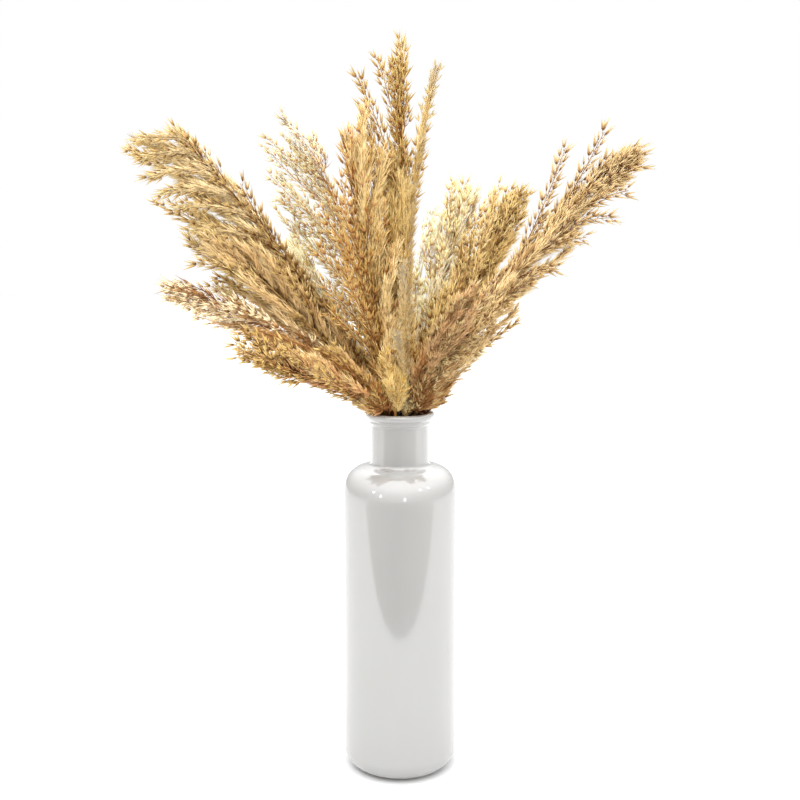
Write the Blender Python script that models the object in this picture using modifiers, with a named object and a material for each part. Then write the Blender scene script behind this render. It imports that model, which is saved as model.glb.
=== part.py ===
"""A white glazed bottle vase that holds fifteen dried grass plumes.

The origin is the centre of the vase's flat base, +Z is up and -Y is the front.
Lengths are in metres and angles in degrees.
"""

import math
import random
from typing import NamedTuple

import bmesh
import bpy
import numpy as np
from mathutils import Matrix, Vector

COLLECTION_NAME = "vase_of_dried_grasses"
SEED = 60

# The vase
VASE_HEIGHT = 0.300
BODY_RADIUS = 0.0473
NECK_RADIUS = 0.0235
WALL = 0.005
FLOOR = 0.006
SHOULDER_FOOT = 0.2388
SHOULDER_RISE = 0.0164
NECK_FILLET = 0.0012
BASE_ROUND = 0.016
COLLAR_RADIUS = 0.0281
COLLAR_HEIGHT = 0.0062
LIP_ROUND = 0.0020
LIP_DEPTH = 0.004
BEAD_DEPTH = 0.0005
BEAD_HEIGHT = 0.0042
VASE_STEPS = 32

# The stems
STEM_RADIUS = 0.0012
TIP_RADIUS = 0.0004
STEM_PIECES = 10
SPIRAL_TURN = 125.0  # how far round the axis a leaning stem travels inside the vase
FOOT_RING = 0.024
SEAT_GAP = 0.0003
FOOT_LIFT = 0.0004
FIRST_BEND = 0.024
ARRIVAL = 0.60
TANGENT_STEP = 0.01
EDGE = None  # stands for the edge of the mouth

# The side branches and their spikelets
HEAD_START = 0.010
BRANCH_SPACING = 0.0120
BRANCH_RADIUS = 0.0007
FEWEST_BRANCHES = 3
FLUFF_RADIUS = 0.0015
FLUFF_LEAN = 0.8
SPIKELET_SPACING = 0.0121
SPIKELET_SPREAD = 0.0042
SPIKELET_LIFT = 0.0085
FEWEST_WHORLS = 3
WHORL_TURN = 60.0
GOLDEN_ANGLE = 137.5
TURN_PLAY = (-15.0, 15.0)
SPREAD_PLAY = (0.85, 1.15)
LENGTH_PLAY = (0.85, 1.10)
TOP_CLOSING = 0.25
TOP_SHORTENING = 0.40
SWEEP_GROWTH = 1.2
SWEEP_TURN = 0.6
SHORTEST_SIDE = 0.45
STRAIGHTENING = 0.25
CROWN_LENGTH = 0.034
CROWN_SINK = 0.004  # how deep the crown's root sits in the stem
GRASS_ROUGHNESS = 0.75

# The room between neighbouring plumes
ROOM_GAP = 0.0030
SMALLEST_ROOM = 0.001
ROOM_SOFTENING = 0.65
THINNEST = 0.3
FACING = 0.05
FAR = 1.0
ROUTE_SAMPLES = 60


class Tone(NamedTuple):
    """The colour of one kind of dried grass."""

    name: str
    colour: tuple


GOLDEN = Tone("golden_dry_grass", (0.58, 0.36, 0.13))
PALE = Tone("pale_dry_grass", (0.79, 0.62, 0.36))
BROWN = Tone("brown_dry_grass", (0.36, 0.20, 0.08))


class Plume(NamedTuple):
    """One plume: where it ends, where it leaves the mouth and how its head grows."""

    name: str
    tip: tuple  # where the head ends
    mouth_angle: float  # side of the mouth that the stem leans on, from +X
    mouth_radius: float  # EDGE for a stem that leans on the mouth's edge
    arch: tuple  # how far the stem bends off the straight line to its tip, along X, Y and Z
    reach: float  # length of a side branch low on the head
    spread: float  # angle between the stem and a side branch
    sweep: tuple  # the side, along X, Y and Z, that the head sweeps to, and how much
    tone: Tone


PLUMES = [
    Plume(
        "plume_left_tall", (-0.178, -0.020, 0.528), 168, EDGE, (0.0, 0.0, 0.030),
        0.078, 30, (-0.30, -0.05, -0.18), GOLDEN
    ),
    Plume(
        "plume_left_middle", (-0.152, -0.042, 0.446), 189, EDGE, (0.0, 0.0, 0.020),
        0.058, 28, (-0.12, 0.0, -0.02), PALE
    ),
    Plume(
        "plume_left_arched", (-0.180, -0.066, 0.408), 210, EDGE, (0.0, 0.0, 0.028),
        0.058, 26, (-0.10, -0.05, 0.05), BROWN
    ),
    Plume(
        "plume_left_low", (-0.119, -0.104, 0.364), 233, EDGE, (-0.010, 0.0, 0.0),
        0.048, 26, (-0.10, -0.10, 0.06), GOLDEN
    ),
    Plume(
        "plume_front_short", (-0.014, -0.048, 0.360), 257, EDGE, (0.0, 0.0, 0.006),
        0.026, 22, (0.0, 0.0, 0.0), PALE
    ),
    Plume(
        "plume_front_feather", (0.027, -0.048, 0.562), 284, EDGE, (-0.024, -0.010, 0.0),
        0.018, 18, (0.10, 0.0, 0.0), PALE
    ),
    Plume(
        "plume_right_low", (0.056, -0.085, 0.404), 311, EDGE, (0.0, 0.0, 0.018),
        0.050, 30, (0.05, -0.05, 0.0), BROWN
    ),
    Plume(
        "plume_right_long", (0.188, -0.020, 0.514), 352, EDGE, (0.0, 0.0, 0.032),
        0.068, 32, (-0.03, 0.0, 0.12), GOLDEN
    ),
    Plume(
        "plume_right_upright", (0.107, 0.035, 0.480), 20, EDGE, (0.0, 0.0, 0.020),
        0.055, 30, (-0.05, 0.0, 0.05), GOLDEN
    ),
    Plume(
        "plume_right_pale", (0.060, 0.085, 0.484), 50, EDGE, (0.0, 0.0, 0.018),
        0.062, 34, (0.0, 0.05, 0.05), PALE
    ),
    Plume(
        "plume_back_pale_low", (0.030, 0.105, 0.468), 81, EDGE, (0.0, 0.0, 0.020),
        0.055, 34, (0.0, 0.10, 0.0), PALE
    ),
    Plume(
        "plume_back_pale_tall", (-0.076, 0.070, 0.530), 115, EDGE, (0.0, 0.0, 0.018),
        0.072, 34, (-0.20, 0.05, -0.05), PALE
    ),
    Plume(
        "plume_back_left", (-0.098, 0.090, 0.440), 145, EDGE, (0.0, 0.0, 0.024),
        0.055, 32, (-0.10, 0.05, -0.10), PALE
    ),
    Plume(
        "plume_centre_left", (-0.044, -0.010, 0.528), 200, 0.0065, (0.0, 0.0, 0.008),
        0.062, 30, (-0.15, 0.0, 0.0), GOLDEN
    ),
    Plume(
        "plume_centre_tall", (0.001, 0.020, 0.602), 50, 0.0055, (0.0, 0.0, 0.004),
        0.068, 28, (-0.18, 0.0, 0.04), GOLDEN
    ),
]


def clear_scene():
    """Removes every object of the scene."""
    for thing in list(bpy.data.objects):
        bpy.data.objects.remove(thing, do_unlink=True)


def make_material(name, colour, roughness):
    """Returns a plain Principled material."""
    material = bpy.data.materials.new(name)
    material.use_nodes = True
    shader = material.node_tree.nodes["Principled BSDF"]
    shader.inputs["Base Color"].default_value = (*colour, 1.0)
    shader.inputs["Roughness"].default_value = roughness
    shader.inputs["Metallic"].default_value = 0.0
    return material


def add_object(name, data, collection, material=None):
    """Links a new object that shows data into a collection."""
    thing = bpy.data.objects.new(name, data)
    collection.objects.link(thing)
    if material is not None:
        data.materials.append(material)
    return thing


def arc(centre, radii, start, end, steps):
    """Returns points (x, z) on an elliptical arc, both ends included."""
    angles = [math.radians(start + (end - start) * k / steps) for k in range(steps + 1)]
    return [(centre[0] + radii[0] * math.cos(a), centre[1] + radii[1] * math.sin(a)) for a in angles]


def vase_profile():
    """Returns the section of the vase's wall, from the inner floor over the lip to the base."""
    bore = NECK_RADIUS - WALL
    inner = BODY_RADIUS - WALL
    inner_round = BASE_ROUND - WALL / 2
    shoulder = (BODY_RADIUS - NECK_RADIUS - NECK_FILLET, SHOULDER_RISE)
    shoulder_top = SHOULDER_FOOT + SHOULDER_RISE
    edge = COLLAR_RADIUS - LIP_ROUND
    collar_foot = VASE_HEIGHT - COLLAR_HEIGHT
    bead = NECK_RADIUS + BEAD_DEPTH
    bead_foot = collar_foot - BEAD_HEIGHT
    profile = [(0.0, FLOOR)]
    profile += arc((inner - inner_round, FLOOR + inner_round), (inner_round, inner_round), -90, 0, 2)
    profile += arc((bore, SHOULDER_FOOT - WALL), (inner - bore, SHOULDER_RISE), 0, 90, 3)
    profile += [(bore, VASE_HEIGHT - LIP_DEPTH), ((bore + edge) / 2, VASE_HEIGHT - LIP_ROUND / 4)]
    profile += arc((edge, VASE_HEIGHT - LIP_ROUND), (LIP_ROUND, LIP_ROUND), 90, -30, 3)
    profile += [(bead + BEAD_DEPTH, collar_foot), (bead, collar_foot - BEAD_DEPTH)]
    profile += [(bead, bead_foot + BEAD_DEPTH), (NECK_RADIUS, bead_foot)]
    profile += [(NECK_RADIUS, shoulder_top + NECK_FILLET)]
    profile += arc((NECK_RADIUS + NECK_FILLET, SHOULDER_FOOT), shoulder, 90, 0, 5)
    profile += arc((BODY_RADIUS - BASE_ROUND, BASE_ROUND), (BASE_ROUND, BASE_ROUND), 0, -90, 4)
    profile += [(0.0, 0.0)]
    return profile


def make_vase(collection):
    """Turns the vase's section round +Z."""
    mesh = bpy.data.meshes.new("vase")
    points = [(x, 0.0, z) for x, z in vase_profile()]
    edges = [(k, k + 1) for k in range(len(points) - 1)]
    mesh.from_pydata(points, edges, [])
    vase = add_object("vase", mesh, collection, make_material("white_glaze", (0.86, 0.86, 0.84), 0.12))
    screw = vase.modifiers.new("turn", "SCREW")
    screw.axis = "Z"
    screw.angle = math.radians(360)
    screw.steps = VASE_STEPS
    screw.render_steps = VASE_STEPS
    screw.use_merge_vertices = True
    screw.merge_threshold = 0.00001
    screw.use_smooth_shade = True
    return vase


def polar(radius, angle, height):
    """Returns the point at a radius and an angle round +Z."""
    return Vector((radius * math.cos(math.radians(angle)), radius * math.sin(math.radians(angle)), height))


def bezier(ends, handles, t):
    """Returns the point at t on a cubic Bezier curve."""
    u = 1 - t
    return ends[0] * u**3 + handles[0] * 3 * u * u * t + handles[1] * 3 * u * t * t + ends[1] * t**3


def stem_ends(plume):
    """Returns where the stem stands on the vase's floor and where it leaves the mouth.

    The stems that lean on the mouth's edge spiral round the vase's axis, so that none meets another.
    """
    foot_height = FLOOR + SEAT_GAP + FOOT_LIFT
    if plume.mouth_radius is EDGE:
        facet = math.cos(math.pi / VASE_STEPS)
        radius = (NECK_RADIUS - WALL) * facet - STEM_RADIUS - SEAT_GAP
        foot = polar(FOOT_RING, plume.mouth_angle - SPIRAL_TURN, foot_height)
    else:
        radius = plume.mouth_radius
        foot = polar(radius, plume.mouth_angle, foot_height)
    return foot, polar(radius, plume.mouth_angle, VASE_HEIGHT - LIP_DEPTH)


def stem_curve(plume, t):
    """Returns the point at t, from the mouth (0) to the tip (1), on a plume's stem."""
    foot, mouth = stem_ends(plume)
    tip = Vector(plume.tip)
    leave = mouth + (mouth - foot).normalized() * FIRST_BEND
    arrive = mouth + (tip - mouth) * ARRIVAL + Vector(plume.arch)
    return bezier((mouth, tip), (leave, arrive), t)


def stem_route(plume, pieces):
    """Returns evenly spaced points along the stem above the mouth."""
    return [stem_curve(plume, k / pieces) for k in range(pieces + 1)]


def head_length(plume):
    """Returns the length of the stem above the mouth."""
    route = stem_route(plume, STEM_PIECES)
    return sum((b - a).length for a, b in zip(route, route[1:]))


def crown_start(plume):
    """Returns where on its curve the stem ends and the crown takes over."""
    return 1 - CROWN_LENGTH / head_length(plume)


class Rooms:
    """Keeps each plume nearer to its own stem than to any other."""

    def __init__(self, plumes):
        self.routes = {p.name: np.array([v[:] for v in stem_route(p, ROUTE_SAMPLES)]) for p in plumes}

    def fit(self, name, point):
        """Returns a point moved towards the plume's own stem until it lies in its room."""
        place = np.array(point[:])
        own = self.routes[name]
        centre = own[np.argmin(np.linalg.norm(own - place, axis=1))]
        others = np.concatenate([r for other, r in self.routes.items() if other != name])
        away = place - centre
        distance = np.linalg.norm(away)
        if distance < STEM_RADIUS:
            return point
        towards = others - centre
        lengths = np.linalg.norm(towards, axis=1)
        cosines = towards @ away / (lengths * distance)
        facing = cosines > FACING
        halfway = np.maximum(lengths[facing] - ROOM_GAP, SMALLEST_ROOM) / 2
        limit = np.min(halfway / cosines[facing], initial=FAR)
        share = distance / limit
        if share > ROOM_SOFTENING:
            rest = 1 - ROOM_SOFTENING
            share = ROOM_SOFTENING + rest * (1 - math.exp((ROOM_SOFTENING - share) / rest))
        return Vector(centre + away / distance * limit * share)

    def scale(self, name, point):
        """Returns how much of its full width a branch may have at a point, so that it stays in its room."""
        gaps = {other: np.min(np.linalg.norm(route - point[:], axis=1)) for other, route in self.routes.items()}
        own = gaps.pop(name)
        space = (min(gaps.values()) - own - SMALLEST_ROOM) / 2
        return min(1.0, max(THINNEST, space / (SPIKELET_SPREAD + FLUFF_RADIUS)))


def make_stem(plume, collection, material):
    """Makes the stem as a tapered tube from the vase's floor to the plume's tip."""
    curve = bpy.data.curves.new(plume.name, "CURVE")
    curve.dimensions = "3D"
    curve.bevel_depth = STEM_RADIUS
    curve.bevel_resolution = 1
    curve.use_fill_caps = True
    end = crown_start(plume)
    above = [stem_curve(plume, end * k / STEM_PIECES) for k in range(STEM_PIECES + 1)]
    points = [stem_ends(plume)[0]] + above
    spline = curve.splines.new("POLY")
    spline.points.add(len(points) - 1)
    taper = 1 - TIP_RADIUS / STEM_RADIUS
    for k, (spot, place) in enumerate(zip(spline.points, points)):
        spot.co = (*place, 1.0)
        spot.radius = 1 - taper * max(k - 1, 0) / STEM_PIECES
    wire = add_object(plume.name + "_wire", curve, collection)
    bpy.context.view_layer.update()
    stem = meshed(wire, plume.name, collection)
    stem.data.materials.append(material)
    return stem


def meshed(source, name, collection):
    """Replaces an object by a plain mesh of what the viewport shows of it."""
    evaluated = source.evaluated_get(bpy.context.evaluated_depsgraph_get())
    mesh = bpy.data.meshes.new_from_object(evaluated)
    mesh.name = name
    work = bmesh.new()
    work.from_mesh(mesh)
    bmesh.ops.remove_doubles(work, verts=work.verts, dist=0.00001)
    work.to_mesh(mesh)
    work.free()
    place = source.matrix_world.copy()
    bpy.data.objects.remove(source, do_unlink=True)
    result = add_object(name, mesh, collection)
    result.matrix_world = place
    return result


def extrude_top(work, top, rise, twist, scale):
    """Extrudes a branch's top face and returns the new top and the side faces below it."""
    made = bmesh.ops.extrude_face_region(work, geom=[top])["geom"]
    bmesh.ops.delete(work, geom=[top], context="FACES_ONLY")
    top = next(item for item in made if isinstance(item, bmesh.types.BMFace))
    centre = Matrix.Translation(-top.calc_center_median())
    change = Matrix.Rotation(math.radians(twist), 4, "Z") @ Matrix.Diagonal((scale, scale, 1, 1))
    bmesh.ops.transform(work, matrix=change, space=centre, verts=top.verts[:])
    bmesh.ops.translate(work, vec=(0, 0, rise), verts=top.verts[:])
    sides = [face for edge in top.edges for face in edge.link_faces if face is not top]
    return top, sides


def raise_spikelets(work, sides):
    """Draws each side face out into a spikelet that points up and away from the branch."""
    points = bmesh.ops.poke(work, faces=sides, offset=SPIKELET_SPREAD)["verts"]
    bmesh.ops.translate(work, vec=(0, 0, SPIKELET_LIFT), verts=points)


def fluff_radius(t):
    """Returns the radius of a branch's slim core of fluff, from its root (0) to its end (1)."""
    return BRANCH_RADIUS + FLUFF_RADIUS * math.sin(math.pi * min(1.0, t) ** FLUFF_LEAN)


def straight_branch(length):
    """Returns a straight branch along +Z: a slim core with whorls of three spikelets standing out."""
    work = bmesh.new()
    nodes = max(FEWEST_WHORLS, round(length / SPIKELET_SPACING))
    step = length / nodes
    radii = [fluff_radius(node / nodes) for node in range(nodes)]
    root = Matrix.Translation((0, 0, step / 2))
    bmesh.ops.create_cone(
        work, cap_ends=True, segments=3, radius1=radii[0], radius2=radii[1], depth=step, matrix=root
    )
    top = max(work.faces, key=lambda face: face.calc_center_median().z)
    for lower, upper in zip(radii[1:], radii[2:]):
        top, sides = extrude_top(work, top, step, WHORL_TURN, upper / lower)
        raise_spikelets(work, sides)
    bmesh.ops.poke(work, faces=[top], offset=step)
    return work


def make_branch(plume, number, root, heading, bend, length, rooms, collection):
    """Makes one side branch, bent along its way and kept in its plume's room."""
    work = straight_branch(length)
    upright = heading.to_track_quat("Z", "Y")
    for vert in work.verts:
        t = vert.co.z / length
        middle, ahead = (
            rooms.fit(plume.name, root + (heading * s + bend * s * s) * length) for s in (t, t + TANGENT_STEP)
        )
        turn = heading.rotation_difference(ahead - middle) @ upright
        across = turn @ Vector((vert.co.x, vert.co.y, 0.0))
        vert.co = middle + across * rooms.scale(plume.name, middle)
    mesh = bpy.data.meshes.new("branch")
    work.to_mesh(mesh)
    work.free()
    return add_object(f"{plume.name}_branch_{number}", mesh, collection)


def branch_heading(tangent, angle, turn):
    """Returns the direction at an angle to the stem, turned round it."""
    side = tangent.to_track_quat("Z", "Y") @ polar(1.0, turn, 0.0)
    return (tangent * math.cos(math.radians(angle)) + side * math.sin(math.radians(angle))).normalized()


def branch_way(plume, tangent, share, turn, draw):
    """Returns the heading, the bend and the length of the branch at a share of the head's height."""
    angle = plume.spread * (1 - TOP_CLOSING * share) * draw.uniform(*SPREAD_PLAY)
    heading = branch_heading(tangent, angle, turn)
    outward = (heading - tangent * heading.dot(tangent)).normalized()
    sweep = Vector(plume.sweep)
    heading = (heading + (sweep - tangent * sweep.dot(tangent)) * SWEEP_TURN).normalized()
    bend = sweep + (tangent - heading) * STRAIGHTENING
    length = plume.reach * (1 - TOP_SHORTENING * share * share) * draw.uniform(*LENGTH_PLAY)
    return heading, bend, length * max(SHORTEST_SIDE, 1 + SWEEP_GROWTH * outward.dot(sweep))


def grow_branches(plume, rooms, collection, draw):
    """Makes all the side branches of a plume and the crown that ends its stem."""
    stem_length = head_length(plume)
    start = HEAD_START / stem_length
    end = crown_start(plume)
    count = max(FEWEST_BRANCHES, round((end - start) * stem_length / BRANCH_SPACING))
    turn = draw.uniform(0, 360)
    for k in range(count):
        share = k / count
        t = start + (end - start) * share
        root = stem_curve(plume, t)
        tangent = (stem_curve(plume, t + TANGENT_STEP) - root).normalized()
        turn += GOLDEN_ANGLE + draw.uniform(*TURN_PLAY)
        heading, bend, length = branch_way(plume, tangent, share, turn, draw)
        make_branch(plume, k, root, heading, bend, length, rooms, collection)
    crown = Vector(plume.tip) - stem_curve(plume, end)
    root = stem_curve(plume, end) - crown.normalized() * CROWN_SINK
    make_branch(plume, count, root, crown.normalized(), Vector(), crown.length + CROWN_SINK, rooms, collection)


def fuse(stem, collection):
    """Joins a stem and the branches of a collection into one body, and removes the branches."""
    union = stem.modifiers.new("fuse", "BOOLEAN")
    union.operation = "UNION"
    union.operand_type = "COLLECTION"
    union.collection = collection
    union.solver = "MANIFOLD"
    bpy.context.view_layer.update()
    mesh = bpy.data.meshes.new_from_object(stem.evaluated_get(bpy.context.evaluated_depsgraph_get()))
    stem.modifiers.clear()
    stem.data = mesh
    for branch in list(collection.objects):
        bpy.data.objects.remove(branch, do_unlink=True)
    bpy.data.collections.remove(collection)


def make_plume(plume, rooms, collection, material, draw):
    """Makes one plume as a single grown body."""
    branches = bpy.data.collections.new(plume.name + "_branches")
    bpy.context.scene.collection.children.link(branches)
    stem = make_stem(plume, collection, material)
    grow_branches(plume, rooms, branches, draw)
    fuse(stem, branches)
    return stem


def make_part():
    """Builds the vase and its plumes."""
    clear_scene()
    collection = bpy.data.collections.new(COLLECTION_NAME)
    bpy.context.scene.collection.children.link(collection)
    make_vase(collection)
    rooms = Rooms(PLUMES)
    grasses = {tone: make_material(tone.name, tone.colour, GRASS_ROUGHNESS) for tone in (GOLDEN, PALE, BROWN)}
    draw = random.Random(SEED)
    for plume in PLUMES:
        make_plume(plume, rooms, collection, grasses[plume.tone], draw)


make_part()
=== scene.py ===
"""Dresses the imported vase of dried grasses: a glazed bottle vase and fifteen feathery plumes.

Lengths are in metres and angles in degrees. +Z is up and -Y is the front.
"""

import logging
import math
from dataclasses import astuple, dataclass, field, fields
from enum import Enum

import bmesh
import bpy
import numpy as np
from mathutils import Matrix, Vector


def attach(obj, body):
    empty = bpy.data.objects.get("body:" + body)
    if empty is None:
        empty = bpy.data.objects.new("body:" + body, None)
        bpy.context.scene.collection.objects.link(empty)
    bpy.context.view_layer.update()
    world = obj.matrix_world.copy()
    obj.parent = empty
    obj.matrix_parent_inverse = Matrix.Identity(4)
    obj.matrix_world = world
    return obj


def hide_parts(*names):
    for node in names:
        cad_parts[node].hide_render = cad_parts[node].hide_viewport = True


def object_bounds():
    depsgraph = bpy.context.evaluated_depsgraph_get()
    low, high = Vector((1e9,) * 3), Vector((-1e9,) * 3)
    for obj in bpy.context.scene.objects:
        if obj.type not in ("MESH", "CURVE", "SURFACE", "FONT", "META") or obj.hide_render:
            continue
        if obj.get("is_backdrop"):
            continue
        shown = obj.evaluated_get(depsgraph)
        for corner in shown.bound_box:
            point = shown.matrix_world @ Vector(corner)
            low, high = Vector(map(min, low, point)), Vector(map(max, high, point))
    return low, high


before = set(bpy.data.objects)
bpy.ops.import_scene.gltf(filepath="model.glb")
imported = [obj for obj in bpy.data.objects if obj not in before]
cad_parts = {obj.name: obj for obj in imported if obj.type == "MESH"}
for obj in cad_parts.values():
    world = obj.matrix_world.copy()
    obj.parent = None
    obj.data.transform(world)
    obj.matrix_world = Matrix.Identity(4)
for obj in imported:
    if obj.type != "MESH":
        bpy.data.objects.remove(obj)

log = logging.getLogger("vase_of_dried_grasses")

Colour = tuple[float, float, float]
Screen = tuple[int, int, int]
Point = tuple[float, float, float]
Pair = tuple[float, float]
Ladder = tuple[float, float, float, float]
Array = np.ndarray
BMesh = bmesh.types.BMesh
Socket = bpy.types.NodeSocket
Feed = Socket | float | tuple
Feeds = dict[str | int, Feed]

TEXTURE_MAP = "OFBake"
SEED = 41
ROOM_SPARE = 0.014
WHITE = (1.0, 1.0, 1.0)
BLACK = (0.0, 0.0, 0.0)

# The vase's measures that the stems need
VASE_HEIGHT = 0.300
NECK_RADIUS = 0.0235
WALL = 0.005
FLOOR = 0.006
LIP_DEPTH = 0.004
VASE_STEPS = 32

# Branches and hairs lie above the vase's lip, outside its collar or within its bore
CLEAR_INNER = 0.0175
CLEAR_OUTER = 0.0295
CLEAR_FOOT = 0.27
CLEAR_TOP = 0.3015

# The stems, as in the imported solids
STEM_RADIUS = 0.0012
TIP_RADIUS = 0.0004
SPIRAL_TURN = 125.0
FOOT_RING = 0.024
SEAT_GAP = 0.0003
FOOT_LIFT = 0.0004
FIRST_BEND = 0.024
ARRIVAL = 0.60
EDGE = (NECK_RADIUS - WALL) * math.cos(math.pi / VASE_STEPS) - STEM_RADIUS - SEAT_GAP

# The usual width of a head's foot, as a share of its width above
FOOT_WIDTH = 0.75

# Where tints lie in the texture map, and what the darkest husks and hairs are multiplied by: a warm brown
# that is partly the fibres' own darker tone and partly painted warm shade
BRANCH_BAND = (0.16, 0.44)
HUSK_BAND = (0.30, 0.98)
HAIR_BAND = (0.02, 0.98)
HUSK_SHADE = (0.44, 0.30, 0.18)
HAIR_SHADE = (0.50, 0.34, 0.19)


def tone(screen: Screen) -> Colour:
    """Turns a screen colour from 0 to 255 into a linear one.

    Args:
        screen: Its red, green and blue.

    Returns:
        The linear colour.
    """
    parts = [c / 255 for c in screen]
    red, green, blue = (c / 12.92 if c <= 0.04045 else ((c + 0.055) / 1.055) ** 2.4 for c in parts)
    return (red, green, blue)


def unit(vectors: Array) -> Array:
    """Returns the vectors at length one."""
    return vectors / np.linalg.norm(vectors, axis=-1, keepdims=True)


def polar(radius: float, angle: float, height: float) -> Array:
    """Returns the point at a radius and an angle round +Z."""
    turn = math.radians(angle)
    return np.array([radius * math.cos(turn), radius * math.sin(turn), height])


def lean(way: Array, side: Array, angle: Array) -> Array:
    """Returns unit vectors that lean from the ways to the sides by angles in degrees."""
    angle = np.radians(angle)[:, None]
    return unit(way * np.cos(angle) + side * np.sin(angle))


def clear_of_vase(points: Array) -> Array:
    """Returns True for each point that lies clear of the vase's wall and lip."""
    radius, height = np.hypot(points[:, 0], points[:, 1]), points[:, 2]
    return (height > CLEAR_TOP) | ((radius > CLEAR_OUTER) & (height > CLEAR_FOOT)) | (radius < CLEAR_INNER)


class Slot(Enum):
    """The record's material slots."""

    GLAZE = "white_glaze"
    GOLDEN = "golden_dry_grass"
    PALE = "pale_dry_grass"
    BROWN = "brown_dry_grass"


@dataclass(frozen=True)
class Palette:
    """The screen colours of one plume: its hairs' root, body and tip, and its husks' body and tip."""

    root: Screen
    body: Screen
    tip: Screen
    husk: Screen
    husk_tip: Screen


@dataclass(frozen=True)
class Plan:
    """One plume: its stem, how its head grows and its colours.

    A ladder is a long side branch: where it leaves the stem, and its tip's x, y and z.
    """

    name: str
    tip: Point
    mouth_angle: float
    arch: Point
    reach: float
    spread: float
    sweep: Point
    slot: Slot
    palette: Palette
    mouth_radius: float = EDGE
    fluff: float = 1.0
    fluff_end: float = 0.92
    fluff_top: float = 1.0
    hair: float = 0.0098
    sprays: float = 1.0
    openness: float = 1.0
    bare_share: float = 0.05
    tipped_share: float = 0.45
    top_shortening: float = 0.40
    foot_width: float = FOOT_WIDTH
    foot_share: float = 0.45
    # How much the head's lower part is darkened: partly its browner real tone, partly painted shade near
    # the mouth
    foot_shade: float = 0.60
    husk_start: float = 0.74
    husk_size: float = 0.0108
    ladder_fluff: float = 0.1
    ladder_tint: float = 0.48
    ladders: tuple[Ladder, ...] = ()
    dark_ladders: tuple[Ladder, ...] = ()


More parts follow.
